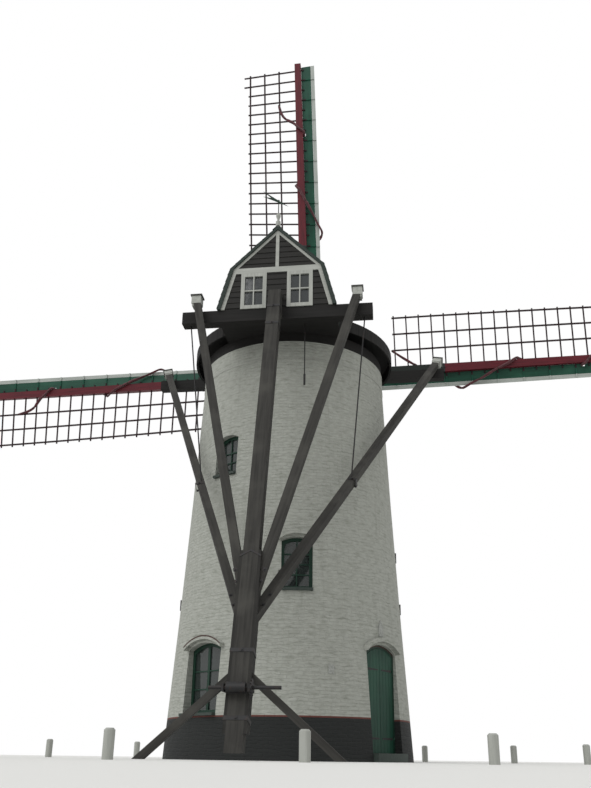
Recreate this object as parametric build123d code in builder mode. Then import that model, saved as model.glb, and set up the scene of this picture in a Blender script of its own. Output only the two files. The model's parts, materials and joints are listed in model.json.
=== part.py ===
import os
from math import asin, cos, degrees, hypot, radians, sin, sqrt, tan

from build123d import *

os.makedirs("parts", exist_ok=True)

# Tower: a round brick wall with a slightly hollow batter and an upright collar, in millimetres
base_radius = 2975
collar_radius = 2460
collar_z = 9390
wall_top = 9945
batter_sag = 29
batter_steps = 3
hoop_height = 50
hoop_thickness = 8
wall_thickness = 480
slab_thickness = 150
floor_thickness = 80
first_floor_top = 2950
second_floor_top = 5850
seat = 0.3

# Doorways, one behind and one opposite, each with two leaves that open outwards
door_azimuth = -34
door_width = 1100
door_spring = 2330
door_rise = 170
threshold_z = 180
step_projection = 130
door_frame_width = 70
door_frame_depth = 110
door_reveal = 45
leaf_thickness = 42
leaf_gap = 6
pin_radius = 8
eye_radius = 16
strap_height = 55
strap_thickness = 6
strap_from_end = 300
eye_clearance = 0.5
pin_bracket_height = 40

# Windows: azimuth of the middle, width, sill, spring of the arch and rise
ground_window = {"azimuth": -126, "width": 1100, "sill": 900, "spring": 2340, "rise": 140}
first_window = {"azimuth": -79.4, "width": 720, "sill": 3560, "spring": 4720, "rise": 90}
second_window = {"azimuth": -121.8, "width": 700, "sill": 6470, "spring": 7450, "rise": 90}
window_reveal = 130
window_frame_width = 75
window_frame_depth = 80
glass_thickness = 8
sill_height = 60
sill_projection = 55
hood_width = 90
hood_gap = 70
hood_projection = 60

# Curb on the wall and the ring, timbers and skirt of the turning cap
curb_setback = 25
curb_width = 330
curb_height = 150
ring_height = 160
bearing_gap = 0.5
skirt_radius = 2727
skirt_bottom = 10300
skirt_edge_z = 10605
skirt_thickness = 40
skirt_pitch = 5
soffit_thickness = 50
sheer_width = 260
sheer_height = 250
sheer_spacing = 2050

# Cap house: gambrel roof between two gables
gable_y = -3400
front_gable_y = 2450
gable_thickness = 60
eaves_half = 1470
eaves_z = 10390
knee_half = 1180
knee_z = 11505
ridge_z = 12690
roof_thickness = 90
roof_overhang = 70
cap_window_inner = 255
cap_window_outer = 895
cap_window_top = 11370
cap_window_frame = 95
cap_window_bar = 30
trim_thickness = 28
trim_board_height = 150
trim_post_width = 85
barge_width = 95

# Winding tail: sprit beams, pole, braces, irons, props and windlass
beam_half = 2345
beam_height = 320
beam_depth = 290
beam_top = 10370
front_beam_y = 1374
front_beam_half = 4250
front_beam_height = 280
front_beam_depth = 260
pole_width = 300
pole_top_z = 10700
pole_offset = 234
pole_slope = 0.2929
pole_foot_z = 120
cheek_thickness = 55
cheek_foot_z = 420
cheek_top_z = 3750
brace_width = 180
short_brace_x = 1989
short_brace_top_z = 10640
short_brace_foot_z = 2780
long_brace_x = 4060
long_brace_top_z = 11030
long_brace_foot_z = 2350
hood_overhang = 25
hood_board = 30
hood_slope_height = 55
hood_taper = 45
rod_radius = 16
rod_share = 0.58
rod_from_end = 200
hanger_x = 650
hanger_y = -2900
hanger_foot_z = 8500
hanger_radius = 14
hanger_end_length = 280
hanger_end_radius = 26
prop_width = 130
prop_top_z = 1400
prop_spread = 1900
prop_floor_gap = 12
windlass_z = 1160
windlass_radius = 32
drum_radius = 95
drum_length = 330
ratchet_radius = 150
ratchet_teeth = 12
ratchet_tooth = 28
ratchet_thickness = 22
ratchet_gap = 12
windlass_left = 480
windlass_right = 770
bracket_thickness = 40
bracket_reach = 330
bracket_end = 60
bracket_height = 130

# Finial, rod and vane
finial_height = 515
finial_radius = 62
vane_rod_radius = 12
vane_rod_height = 420
vane_length = 784
vane_height = 158
vane_thickness = 8
vane_tail_share = 0.616
vane_notch = 250
vane_sleeve_height = 80
vane_sleeve_rise = 15
vane_azimuth = -135

# Sails: hub, tilt and quarter turn of the windshaft, then one blade in its own frame
hub_y = 3252
hub_z = 11765
shaft_tilt = 6.75
sail_phase = -1.25
sail_length = 11585
stock_offset = 245
stock_hub_width = 290
stock_tip_width = 216
stock_hub_depth = 300
stock_tip_depth = 150
tip_twist = -3.8
hub_twist = 20.6
lath_spacing = 523
lath_count = 3
inner_lath = 680
lath_width = 55
lath_depth = 26
bar_width = 42
bar_depth = 34
bar_overhang = 75
tip_bar_overhang = 225
tip_bar_count = 2
first_bar_from_tip = 258
innermost_bar = 2870
bar_count = 22
board_gap = 40
board_split = 450
board_seam = 4
board_outer = 580
stub_length = 60
notch_reach = 8710
notch_length = 160
notch_depth = 80
board_thickness = 24
board_start = 2350
board_end_from_tip = 120
lath_overhang = 60
joint_depth = 4
twist_steps = 6
poll_length = 1150
poll_size = 640
poll_bevel = 60
shaft_radius = 250
tail_shaft_radius = 170
tail_bearing_y = -2500
front_bearing_y = 2180
trestle_thickness = 260
trestle_top_share = 1.7
shaft_hole_gap = 60
cloth_radius = 36
cloth_lengths = 12

# Middle line of the furled cloth on a blade: reach along it, across towards its trailing edge, and
# off towards its front. It is tied to the lattice at both ends and wound round the stock and boards
cloth_route = [
    (9950, 700, -84),
    (9600, 612, -80),
    (9380, 480, -74),
    (9160, 202, -106),
    (8980, 62, -144),
    (8842, -82, -142),
    (8758, -162, -100),
    (8710, -156, 0),
    (8664, -160, 104),
    (8578, -82, 140),
    (8400, 0, 138),
    (7800, 20, 144),
    (7200, 30, 150),
    (6982, 92, 154),
    (6868, 172, 112),
    (6780, 172, 0),
    (6692, 172, -112),
    (6558, 82, -156),
    (6380, -20, -152),
    (6000, -190, -136),
    (5570, -400, -14),
    (5200, -560, 20),
    (5060, -630, 60),
    (4980, -650, 120),
    (4900, -626, 176),
    (4780, -540, 196),
    (4560, -220, 176),
    (4300, -20, 168),
    (3800, 20, 172),
    (3642, 104, 178),
    (3538, 190, 122),
    (3482, 194, 0),
    (3410, 200, -110),
    (3250, 290, -170),
    (3020, 450, -200),
    (2760, 640, -256),
]

# Winding posts in a ring on the ground
post_ring_radius = 7600
post_count = 15
post_first_azimuth = -80.4
post_radius = 90
post_height = 480
post_shoulder = 30

# Tie anchors (azimuth and height), plain plate and pointed plaque on the wall
anchor_places = [(-164, 3590), (-0.4, 3560), (-0.4, 4870), (-87.8, 3880), (-98.8, 2220)]
anchor_length = 260
anchor_width = 30
anchor_thickness = 25
plate_azimuth = -64
plate_z = 1870
plate_width = 130
plate_height = 190
plaque_azimuth = -34.6
plaque_z = 2800
plaque_width = 150
plaque_height = 230
plate_thickness = 20


def vector_at(azimuth, radius, z=0):
    angle = radians(azimuth)
    return Vector(radius * cos(angle), radius * sin(angle), z)


# Vertical plane through the tower's axis: local X runs outwards, local Y up
def radial_plane(azimuth):
    return Plane(origin=(0, 0, 0), x_dir=vector_at(azimuth, 1), z_dir=vector_at(azimuth - 90, 1))


# Vertical plane that looks outwards at a distance from the axis: local Y is up
def facing_plane(azimuth, distance, z=0):
    return Plane(
        origin=vector_at(azimuth, distance, z),
        x_dir=vector_at(azimuth + 90, 1),
        z_dir=vector_at(azimuth, 1),
    )


def between(start, end, share):
    return start + (end - start) * share


# The batter runs in straight steps between points that sag inwards from a straight line
batter_heights = [collar_z * step / batter_steps for step in range(batter_steps + 1)]


def batter_radius(z):
    share = z / collar_z
    return between(base_radius, collar_radius, share) - 4 * batter_sag * share * (1 - share)


def wall_radius(z):
    if z >= collar_z:
        return collar_radius
    step = int(z / collar_z * batter_steps)
    low, high = batter_heights[step], batter_heights[step + 1]
    return between(batter_radius(low), batter_radius(high), (z - low) / (high - low))


def face_distance(z, width):
    return sqrt(wall_radius(z) ** 2 - (width / 2) ** 2)


# Closed outline between two copies of the batter, from a height up to the wall top
def wall_outline(bottom, inner, outer):
    heights = [bottom] + [z for z in batter_heights if z > bottom] + [wall_top]
    outside = [(wall_radius(z) + outer, z) for z in heights]
    inside = [(wall_radius(z) + inner, z) for z in reversed(heights)]
    with BuildSketch() as outline:
        with BuildLine():
            Polyline(*outside, *inside, close=True)
        make_face()
    return outline.sketch


# Opening with a segmental arch, standing on local Y = 0
def arched_outline(width, height, rise):
    with BuildSketch() as outline:
        with BuildLine():
            Polyline((-width / 2, height), (-width / 2, 0), (width / 2, 0), (width / 2, height))
            ThreePointArc((width / 2, height), (0, height + rise), (-width / 2, height))
        make_face()
    return outline.sketch


# Squared timber between two points, its width along the side direction
def timber(start, end, width, depth, side=(1, 0, 0)):
    run = Vector(*end) - Vector(*start)
    with BuildPart() as stick:
        with BuildSketch(Plane(origin=start, x_dir=side, z_dir=run)):
            Rectangle(width, depth)
        extrude(amount=run.length)
    return stick.part


windows = [
    {**window, "azimuth": window["azimuth"] + turn}
    for turn in (0, 180)
    for window in (ground_window, first_window, second_window)
]
door_azimuths = [door_azimuth, door_azimuth + 180]
door_height = door_spring - threshold_z
door_half_angle = degrees(asin(door_width / 2 / base_radius))
segment_angle = (180 - 2 * door_half_angle) / 3

# What the windows and the doorways take out of the wall
with BuildPart() as window_ways:
    for window in windows:
        with BuildSketch(facing_plane(window["azimuth"], collar_radius / 2, window["sill"])):
            add(arched_outline(window["width"], window["spring"] - window["sill"], window["rise"]))
        extrude(amount=base_radius)

with BuildPart() as door_ways:
    for azimuth in door_azimuths:
        with BuildSketch(facing_plane(azimuth, collar_radius / 2, threshold_z)):
            add(arched_outline(door_width, door_height, door_rise))
        extrude(amount=base_radius)

# Upright bays as wide as the doorways, where the wall is parted from the pieces over the doors
with BuildPart() as door_bays:
    for azimuth in door_azimuths:
        with BuildSketch(facing_plane(azimuth, collar_radius / 2)):
            Rectangle(door_width, wall_top, align=(Align.CENTER, Align.MIN))
        extrude(amount=base_radius)

# Walls: three segments between the doors on each side, and one over each doorway
turns = [0, door_half_angle + segment_angle, 180 - door_half_angle - segment_angle, 180]
for name, start, end in zip(("side_walls", "corner_walls", "end_walls"), turns, turns[1:]):
    with BuildPart() as wall:
        for azimuth in door_azimuths:
            with BuildSketch(radial_plane(azimuth + start)):
                add(wall_outline(0, -wall_thickness, 0))
            revolve(axis=Axis.Z, revolution_arc=end - start)
        for taken in (door_bays, window_ways):
            add(taken.part, mode=Mode.SUBTRACT)
    wall.part.label = name
    export_step(wall.part, f"parts/{name}.step")

with BuildPart() as wall_over_doors:
    for azimuth in door_azimuths:
        with BuildSketch(radial_plane(azimuth - 2 * door_half_angle)):
            add(wall_outline(door_spring, -wall_thickness, 0))
        revolve(axis=Axis.Z, revolution_arc=4 * door_half_angle)
    add(door_bays.part, mode=Mode.INTERSECT)
    add(door_ways.part, mode=Mode.SUBTRACT)
wall_over_doors.part.label = "wall_over_doors"
export_step(wall_over_doors.part, "parts/wall_over_doors.step")

step_inner = wall_radius(0) - wall_thickness
step_outer = wall_radius(0) + step_projection
with BuildPart() as door_steps:
    for azimuth in door_azimuths:
        with BuildSketch(radial_plane(azimuth - 2 * door_half_angle)):
            with Locations(((step_inner + step_outer) / 2, threshold_z / 2)):
                Rectangle(step_outer - step_inner, threshold_z)
        revolve(axis=Axis.Z, revolution_arc=4 * door_half_angle)
    add(door_bays.part, mode=Mode.INTERSECT)
door_steps.part.label = "door_steps"
export_step(door_steps.part, "parts/door_steps.step")

with BuildPart() as ground_floor:
    with BuildSketch():
        Circle(wall_radius(slab_thickness) - wall_thickness - seat)
    extrude(amount=slab_thickness)
ground_floor.part.label = "ground_floor"
export_step(ground_floor.part, "parts/ground_floor.step")

with BuildPart() as upper_floors:
    for top in (first_floor_top, second_floor_top):
        with BuildSketch(Plane.XY.offset(top - floor_thickness)):
            Circle(wall_radius(top) - wall_thickness - seat)
        extrude(amount=floor_thickness)
upper_floors.part.label = "upper_floors"
export_step(upper_floors.part, "parts/upper_floors.step")

curb_outer = collar_radius - curb_setback
with BuildPart() as curb:
    with BuildSketch(Plane.XY.offset(wall_top)):
        Circle(curb_outer)
        Circle(curb_outer - curb_width, mode=Mode.SUBTRACT)
    extrude(amount=curb_height)
curb.part.label = "curb"
export_step(curb.part, "parts/curb.step")

with BuildPart() as iron_hoop:
    with BuildSketch(Plane.XY.offset(collar_z + hoop_height)):
        Circle(collar_radius + seat + hoop_thickness)
        Circle(collar_radius + seat, mode=Mode.SUBTRACT)
    extrude(amount=hoop_height)
iron_hoop.part.label = "iron_hoop"
export_step(iron_hoop.part, "parts/iron_hoop.step")


# Distance from the axis to the outer face of a window's frame
def window_face(window):
    crown = window["spring"] + window["rise"]
    return face_distance(crown, window["width"]) - window_reveal


def frame_plane(window, distance):
    return facing_plane(window["azimuth"], distance, window["sill"] + sill_height)


def frame_outline(window, inset):
    width = window["width"] - 2 * seat - 2 * inset
    height = window["spring"] - window["sill"] - sill_height
    with BuildSketch() as outline:
        add(arched_outline(width, height - inset, window["rise"] - seat))
        if inset:
            with Locations((0, inset / 2)):
                Rectangle(width, inset, mode=Mode.SUBTRACT)
    return outline.sketch


with BuildPart() as window_frames:
    for window in windows:
        with BuildSketch(frame_plane(window, window_face(window) - window_frame_depth)):
            add(frame_outline(window, 0))
            add(frame_outline(window, window_frame_width), mode=Mode.SUBTRACT)
        extrude(amount=window_frame_depth)
window_frames.part.label = "window_frames"
export_step(window_frames.part, "parts/window_frames.step")

with BuildPart() as window_glass:
    for window in windows:
        with BuildSketch(frame_plane(window, window_face(window) - window_frame_depth / 2)):
            add(frame_outline(window, window_frame_width + seat))
        extrude(amount=glass_thickness)
window_glass.part.label = "window_glass"
export_step(window_glass.part, "parts/window_glass.step")

with BuildPart() as window_sills:
    for window in windows:
        inner = window_face(window) - window_frame_depth
        outer = wall_radius(window["sill"]) + sill_projection
        with BuildSketch(facing_plane(window["azimuth"], inner, window["sill"])):
            with Locations((0, sill_height / 2)):
                Rectangle(window["width"] - 2 * seat, sill_height)
        extrude(amount=outer - inner)
window_sills.part.label = "window_sills"
export_step(window_sills.part, "parts/window_sills.step")

# Everything behind the wall's outer face, for cutting back what stands on that face
with BuildPart() as behind_face:
    with BuildSketch(radial_plane(0)):
        add(wall_outline(0, -wall_thickness, seat))
    revolve(axis=Axis.Z)


def hood_outline(width, spring, rise):
    half = width / 2 + hood_gap
    crown = spring + rise + hood_gap
    with BuildSketch() as outline:
        with BuildLine():
            ThreePointArc((-half, spring), (0, crown), (half, spring))
            Line((half, spring), (half, spring + hood_width))
            ThreePointArc((half, spring + hood_width), (0, crown + hood_width), (-half, spring + hood_width))
            Line((-half, spring + hood_width), (-half, spring))
        make_face()
    return outline.sketch


hooded_windows = [window for window in windows if window["sill"] < second_floor_top]
with BuildPart() as window_hoods:
    for window in hooded_windows:
        with BuildSketch(facing_plane(window["azimuth"], collar_radius)):
            add(hood_outline(window["width"], window["spring"], window["rise"]))
        extrude(amount=wall_radius(window["spring"]) + hood_projection - collar_radius)
    for azimuth in door_azimuths:
        with BuildSketch(facing_plane(azimuth, collar_radius)):
            add(hood_outline(door_width, door_spring, door_rise))
        extrude(amount=wall_radius(door_spring) + hood_projection - collar_radius)
    add(behind_face.part, mode=Mode.SUBTRACT)
window_hoods.part.label = "window_hoods"
export_step(window_hoods.part, "parts/window_hoods.step")

# Door frames: the leaves lie inside them, flush with their outer faces
door_face = face_distance(door_spring + door_rise, door_width) - door_reveal
with BuildPart() as door_frames:
    for azimuth in door_azimuths:
        with BuildSketch(facing_plane(azimuth, door_face - door_frame_depth, threshold_z)):
            add(arched_outline(door_width - 2 * seat, door_height, door_rise - seat))
            add(
                arched_outline(door_width - 2 * door_frame_width, door_height - door_frame_width, door_rise),
                mode=Mode.SUBTRACT,
            )
        extrude(amount=door_frame_depth)
door_frames.part.label = "door_frames"
export_step(door_frames.part, "parts/door_frames.step")

# A leaf in the plane of its doorway: local X across, Y up, Z outwards; side is -1 or 1
clear_half = door_width / 2 - door_frame_width
leaf_height = door_height - door_frame_width - 2 * leaf_gap
pin_x = clear_half + leaf_gap
pin_out = eye_radius + eye_clearance
strap_heights = [strap_from_end, leaf_height - strap_from_end]


def leaf_outline(side):
    with BuildSketch() as outline:
        add(arched_outline(2 * (clear_half - leaf_gap), leaf_height, door_rise))
        with Locations((side * (leaf_gap - door_width) / 2, door_height / 2)):
            Rectangle(door_width, 2 * door_height, mode=Mode.SUBTRACT)
    return outline.sketch


def hinge_plane(face, side, height):
    return Plane(origin=face.from_local_coords((side * pin_x, height, pin_out)), z_dir=(0, 0, 1))


for place, azimuth in zip(("rear", "front"), door_azimuths):
    for hand, side in (("left", -1), ("right", 1)):
        name = f"{place}_door_{hand}"
        face = facing_plane(azimuth, door_face, threshold_z + leaf_gap)
        with BuildPart() as leaf:
            with BuildSketch(face.offset(-leaf_thickness)):
                add(leaf_outline(side))
            extrude(amount=leaf_thickness)
            for height in strap_heights:
                with BuildSketch(face):
                    with Locations((side * (pin_x + 2 * leaf_gap) / 2, height)):
                        Rectangle(pin_x - 2 * leaf_gap, strap_height)
                extrude(amount=strap_thickness)
                eye_base = hinge_plane(face, side, height - strap_height / 2)
                with BuildSketch(eye_base):
                    Circle(eye_radius)
                extrude(amount=strap_height)
                with BuildSketch(eye_base):
                    Circle(pin_radius + eye_clearance)
                extrude(amount=strap_height, mode=Mode.SUBTRACT)
        leaf.part.label = name
        export_step(leaf.part, f"parts/{name}.step")

# Wall irons: hinge pins carried by brackets on the door frames, and tie anchors on the wall
with BuildPart() as wall_irons:
    for azimuth in door_azimuths:
        face = facing_plane(azimuth, door_face, threshold_z + leaf_gap)
        for side in (-1, 1):
            for height in strap_heights:
                pin_bottom = height - strap_height / 2 - eye_clearance - pin_bracket_height
                with BuildSketch(hinge_plane(face, side, pin_bottom)):
                    Circle(pin_radius)
                extrude(amount=pin_bracket_height + eye_clearance + strap_height)
                with BuildSketch(face):
                    with Locations((side * (pin_x + eye_radius), pin_bottom + pin_bracket_height / 2)):
                        Rectangle(2 * eye_radius, pin_bracket_height)
                extrude(amount=pin_out)
    for azimuth, height in anchor_places:
        with BuildSketch(facing_plane(azimuth, wall_radius(height), height)):
            Rectangle(anchor_width, anchor_length)
        extrude(amount=anchor_thickness, both=True)
    add(behind_face.part, mode=Mode.SUBTRACT)
wall_irons.part.label = "wall_irons"
export_step(wall_irons.part, "parts/wall_irons.step")

# Small plain plate and small pointed plaque on the wall
with BuildPart() as wall_plates:
    with BuildSketch(facing_plane(plate_azimuth, wall_radius(plate_z), plate_z)):
        Rectangle(plate_width, plate_height)
    extrude(amount=plate_thickness, both=True)
    with BuildSketch(facing_plane(plaque_azimuth, wall_radius(plaque_z), plaque_z)):
        Rectangle(plaque_width, plaque_height)
        with Locations((0, plaque_height / 2)):
            Triangle(a=plaque_width, b=plaque_width, c=plaque_width, align=(Align.CENTER, Align.MIN))
    extrude(amount=plate_thickness, both=True)
    add(behind_face.part, mode=Mode.SUBTRACT)
wall_plates.part.label = "wall_plates"
export_step(wall_plates.part, "parts/wall_plates.step")

with BuildPart() as winding_posts:
    with BuildSketch():
        with PolarLocations(post_ring_radius, post_count, start_angle=post_first_azimuth):
            Circle(post_radius)
    extrude(amount=post_height)
    chamfer(winding_posts.edges().group_by(Axis.Z)[-1], post_shoulder)
winding_posts.part.label = "winding_posts"
export_step(winding_posts.part, "parts/winding_posts.step")

# Cap: ring on the curb, two sheers, two trestles that carry the windshaft
ring_bottom = wall_top + curb_height + bearing_gap
with BuildPart() as cap_ring:
    with BuildSketch(Plane.XY.offset(ring_bottom)):
        Circle(curb_outer)
        Circle(curb_outer - curb_width, mode=Mode.SUBTRACT)
    extrude(amount=ring_height)
cap_ring.part.label = "cap_ring"
export_step(cap_ring.part, "parts/cap_ring.step")

sheer_bottom = ring_bottom + ring_height
sheer_top = sheer_bottom + sheer_height
sheer_rear = gable_y + beam_depth
sheer_front = front_gable_y - gable_thickness
with BuildPart() as sheers:
    with BuildSketch(Plane.XY.offset(sheer_bottom)):
        with Locations((0, (sheer_rear + sheer_front) / 2)):
            with GridLocations(sheer_spacing, 0, 2, 1):
                Rectangle(sheer_width, sheer_front - sheer_rear)
    extrude(amount=sheer_height)
sheers.part.label = "sheers"
export_step(sheers.part, "parts/sheers.step")

shaft_axis = Vector(0, cos(radians(shaft_tilt)), sin(radians(shaft_tilt)))
shaft_up = Vector(0, -sin(radians(shaft_tilt)), cos(radians(shaft_tilt)))
hub = Vector(0, hub_y, hub_z)


# Plane square to the windshaft where its centre line has this y, facing the hub
def shaft_plane(y):
    centre = hub + shaft_axis * ((y - hub_y) / cos(radians(shaft_tilt)))
    return Plane(origin=centre, x_dir=(1, 0, 0), z_dir=shaft_axis)


def trestle_outline(top_half, top):
    with BuildSketch() as outline:
        with BuildLine():
            Polyline(
                (-trestle_foot_half, sheer_top),
                (trestle_foot_half, sheer_top),
                (top_half, top),
                (-top_half, top),
                close=True,
            )
        make_face()
    return outline.sketch


trestle_foot_half = (sheer_spacing + sheer_width) / 2
with BuildPart() as trestles:
    for y, radius in ((front_bearing_y, shaft_radius), (tail_bearing_y, tail_shaft_radius)):
        centre = shaft_plane(y).origin.Z
        with BuildSketch(Plane.XZ.offset(-y - trestle_thickness / 2)):
            add(trestle_outline(trestle_top_share * radius, centre))
        extrude(amount=trestle_thickness)
        with BuildSketch(shaft_plane(y - trestle_thickness)):
            Circle(radius + bearing_gap)
        extrude(amount=2 * trestle_thickness, mode=Mode.SUBTRACT)
trestles.part.label = "trestles"
export_step(trestles.part, "parts/trestles.step")


# Sprit beams: the rear one under the gable, the front one across the sheers
front_beam_z = sheer_top + front_beam_height / 2
with BuildPart() as sprit_beams:
    with Locations((0, gable_y + beam_depth / 2, beam_top - beam_height / 2)):
        Box(2 * beam_half, beam_depth, beam_height)
    with Locations((0, front_beam_y, front_beam_z)):
        Box(2 * front_beam_half, front_beam_depth, front_beam_height)
sprit_beams.part.label = "sprit_beams"
export_step(sprit_beams.part, "parts/sprit_beams.step")


# Half of the cap house in cross-section, spread outwards or inwards from its surface
def house_half(side, spread, bottom):
    drop = spread * (ridge_z - knee_z) / knee_half
    with BuildSketch() as outline:
        with BuildLine():
            Polyline(
                (0, bottom),
                (side * (eaves_half + spread), bottom),
                (side * (eaves_half + spread), eaves_z),
                (side * (knee_half + spread), knee_z),
                (0, ridge_z + drop),
                close=True,
            )
        make_face()
    return outline.sketch


def front_plane(y):
    return Plane.XZ.offset(-y)


house_floor = beam_top
roof_rear = gable_y - roof_overhang
roof_front = front_gable_y + roof_overhang
roofs = {}
for name, side in (("roof_left", -1), ("roof_right", 1)):
    with BuildPart() as roof:
        with BuildSketch(front_plane(roof_front)):
            add(house_half(side, 0, house_floor))
            add(house_half(side, -roof_thickness, house_floor), mode=Mode.SUBTRACT)
        extrude(amount=roof_front - roof_rear)
        add(sprit_beams.part, mode=Mode.SUBTRACT)
    roof.part.label = name
    export_step(roof.part, f"parts/{name}.step")
    roofs[name] = roof.part


# The part of the gable within half_width of the middle, between two heights
def gable_outline(half_width, lower, upper):
    with BuildSketch() as outline:
        for side in (-1, 1):
            add(house_half(side, -roof_thickness, house_floor))
        with Locations((0, (lower + upper) / 2)):
            Rectangle(2 * half_width, upper - lower, mode=Mode.INTERSECT)
    return outline.sketch


window_middle = (cap_window_inner + cap_window_outer) / 2
window_width = cap_window_outer - cap_window_inner
window_height = cap_window_top - house_floor
with BuildPart() as gables:
    with BuildSketch(front_plane(gable_y + gable_thickness)):
        add(gable_outline(eaves_half, house_floor, ridge_z))
        with Locations((0, house_floor + window_height / 2)):
            with GridLocations(2 * window_middle, 0, 2, 1):
                Rectangle(window_width, window_height, mode=Mode.SUBTRACT)
    extrude(amount=gable_thickness)
    with BuildSketch(front_plane(front_gable_y)):
        add(gable_outline(eaves_half, house_floor, ridge_z))
    extrude(amount=gable_thickness)
    with BuildSketch(shaft_plane(front_bearing_y)):
        Circle(shaft_radius + shaft_hole_gap)
    extrude(amount=hub_y - front_bearing_y, mode=Mode.SUBTRACT)
gables.part.label = "gables"
export_step(gables.part, "parts/gables.step")

with BuildPart() as cap_windows:
    with BuildSketch(front_plane(gable_y + gable_thickness)):
        with Locations((0, house_floor + window_height / 2)):
            with GridLocations(2 * window_middle, 0, 2, 1):
                Rectangle(window_width - 2 * seat, window_height - 2 * seat)
                Rectangle(
                    window_width - 2 * cap_window_frame,
                    window_height - 2 * cap_window_frame,
                    mode=Mode.SUBTRACT,
                )
                Rectangle(window_width - 2 * cap_window_frame, cap_window_bar)
                Rectangle(cap_window_bar, window_height - 2 * cap_window_frame)
    extrude(amount=gable_thickness + trim_thickness)
cap_windows.part.label = "cap_windows"
export_step(cap_windows.part, "parts/cap_windows.step")

pane_width = (window_width - 2 * cap_window_frame - cap_window_bar) / 2
pane_height = (window_height - 2 * cap_window_frame - cap_window_bar) / 2
with BuildPart() as cap_glass:
    with BuildSketch(front_plane(gable_y + gable_thickness / 2)):
        for side in (-1, 1):
            with Locations((side * window_middle, house_floor + window_height / 2)):
                with GridLocations(pane_width + cap_window_bar, pane_height + cap_window_bar, 2, 2):
                    Rectangle(pane_width - 2 * seat, pane_height - 2 * seat)
    extrude(amount=glass_thickness)
cap_glass.part.label = "cap_glass"
export_step(cap_glass.part, "parts/cap_glass.step")

# White trim on the rear gable: bargeboards, the board over the windows and the middle post
with BuildPart() as gable_trim:
    with BuildSketch(front_plane(gable_y)):
        add(gable_outline(eaves_half, house_floor, ridge_z))
        for side in (-1, 1):
            add(house_half(side, -roof_thickness - barge_width, house_floor), mode=Mode.SUBTRACT)
        add(gable_outline(eaves_half, cap_window_top, cap_window_top + trim_board_height))
        add(gable_outline(trim_post_width / 2, cap_window_top, ridge_z))
    extrude(amount=trim_thickness)
gable_trim.part.label = "gable_trim"
export_step(gable_trim.part, "parts/gable_trim.step")

# Skirt: an upright boarded ring and a low lid that closes it outside the cap house
lid_rise = skirt_radius * tan(radians(skirt_pitch))
with BuildPart() as cap_skirt:
    with BuildSketch(Plane.XZ):
        with BuildLine():
            Polyline(
                (skirt_radius, skirt_bottom),
                (skirt_radius, skirt_edge_z),
                (0, skirt_edge_z + lid_rise),
                (0, skirt_edge_z + lid_rise - skirt_thickness),
                (skirt_radius - skirt_thickness, skirt_edge_z - skirt_thickness),
                (skirt_radius - skirt_thickness, skirt_bottom),
                close=True,
            )
        make_face()
    revolve(axis=Axis.Z)
    with BuildSketch(front_plane(front_gable_y)):
        for side in (-1, 1):
            add(house_half(side, 0, skirt_bottom))
    extrude(amount=front_gable_y - gable_y, mode=Mode.SUBTRACT)
    add(sprit_beams.part, mode=Mode.SUBTRACT)
cap_skirt.part.label = "cap_skirt"
export_step(cap_skirt.part, "parts/cap_skirt.step")

# Soffit boards under the parts of the cap house that stand out past the ring
with BuildPart() as cap_soffit:
    with BuildSketch(Plane.XY.offset(sheer_bottom - soffit_thickness)):
        with Locations((0, (sheer_rear + front_gable_y) / 2)):
            Rectangle(2 * eaves_half, front_gable_y - sheer_rear)
        Circle(curb_outer + seat, mode=Mode.SUBTRACT)
    extrude(amount=soffit_thickness)
cap_soffit.part.label = "cap_soffit"
export_step(cap_soffit.part, "parts/cap_soffit.step")


# Middle of the tail pole at a height; the pole leans back from the rear beam's top edge
def tail_y(z):
    return gable_y - pole_offset + pole_slope * (z - beam_top)


pole_run = pole_width / 2 * hypot(1, pole_slope)
pole_half = pole_width / 2
tail_half = pole_half + cheek_thickness


def tail_outline(bottom, top, half_run):
    with BuildSketch() as outline:
        with BuildLine():
            Polyline(
                (tail_y(bottom) - half_run, bottom),
                (tail_y(bottom) + half_run, bottom),
                (tail_y(top) + half_run, top),
                (tail_y(top) - half_run, top),
                close=True,
            )
        make_face()
    return outline.sketch


# Tail pole with the packing that fills the wedge between it and the rear beam
beam_bottom = beam_top - beam_height
with BuildPart() as tail_pole:
    with BuildSketch(Plane.YZ):
        add(tail_outline(pole_foot_z, pole_top_z, pole_run))
        with BuildLine():
            Polyline(
                (gable_y, beam_bottom),
                (gable_y, beam_top),
                (tail_y(beam_top), beam_top),
                (tail_y(beam_bottom), beam_bottom),
                close=True,
            )
        make_face()
    extrude(amount=pole_half, both=True)
    add(gables.part, mode=Mode.SUBTRACT)
tail_pole.part.label = "tail_pole"
export_step(tail_pole.part, "parts/tail_pole.step")

with BuildPart() as tail_cheeks:
    for side in (-1, 1):
        with BuildSketch(Plane.YZ.offset(side * (pole_half + cheek_thickness / 2))):
            add(tail_outline(cheek_foot_z, cheek_top_z, pole_run))
        extrude(amount=cheek_thickness / 2, both=True)
tail_cheeks.part.label = "tail_cheeks"
export_step(tail_cheeks.part, "parts/tail_cheeks.step")


# Square braces from the tail: the short ones are cut level at the top, the long ones square
def brace_foot(side, z):
    return Vector(side * pole_half / 2, tail_y(z), z)


with BuildPart() as short_braces:
    for side in (-1, 1):
        foot = brace_foot(side, short_brace_foot_z)
        rise = Vector(side * short_brace_x, gable_y, short_brace_top_z) - foot
        add(timber(foot, foot + rise * (1 + brace_width / rise.length), brace_width, brace_width))
    split(bisect_by=Plane.XY.offset(short_brace_top_z), keep=Keep.BOTTOM)
    for taken in (tail_pole, tail_cheeks, sprit_beams):
        add(taken.part, mode=Mode.SUBTRACT)
short_braces.part.label = "short_braces"
export_step(short_braces.part, "parts/short_braces.step")

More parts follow.
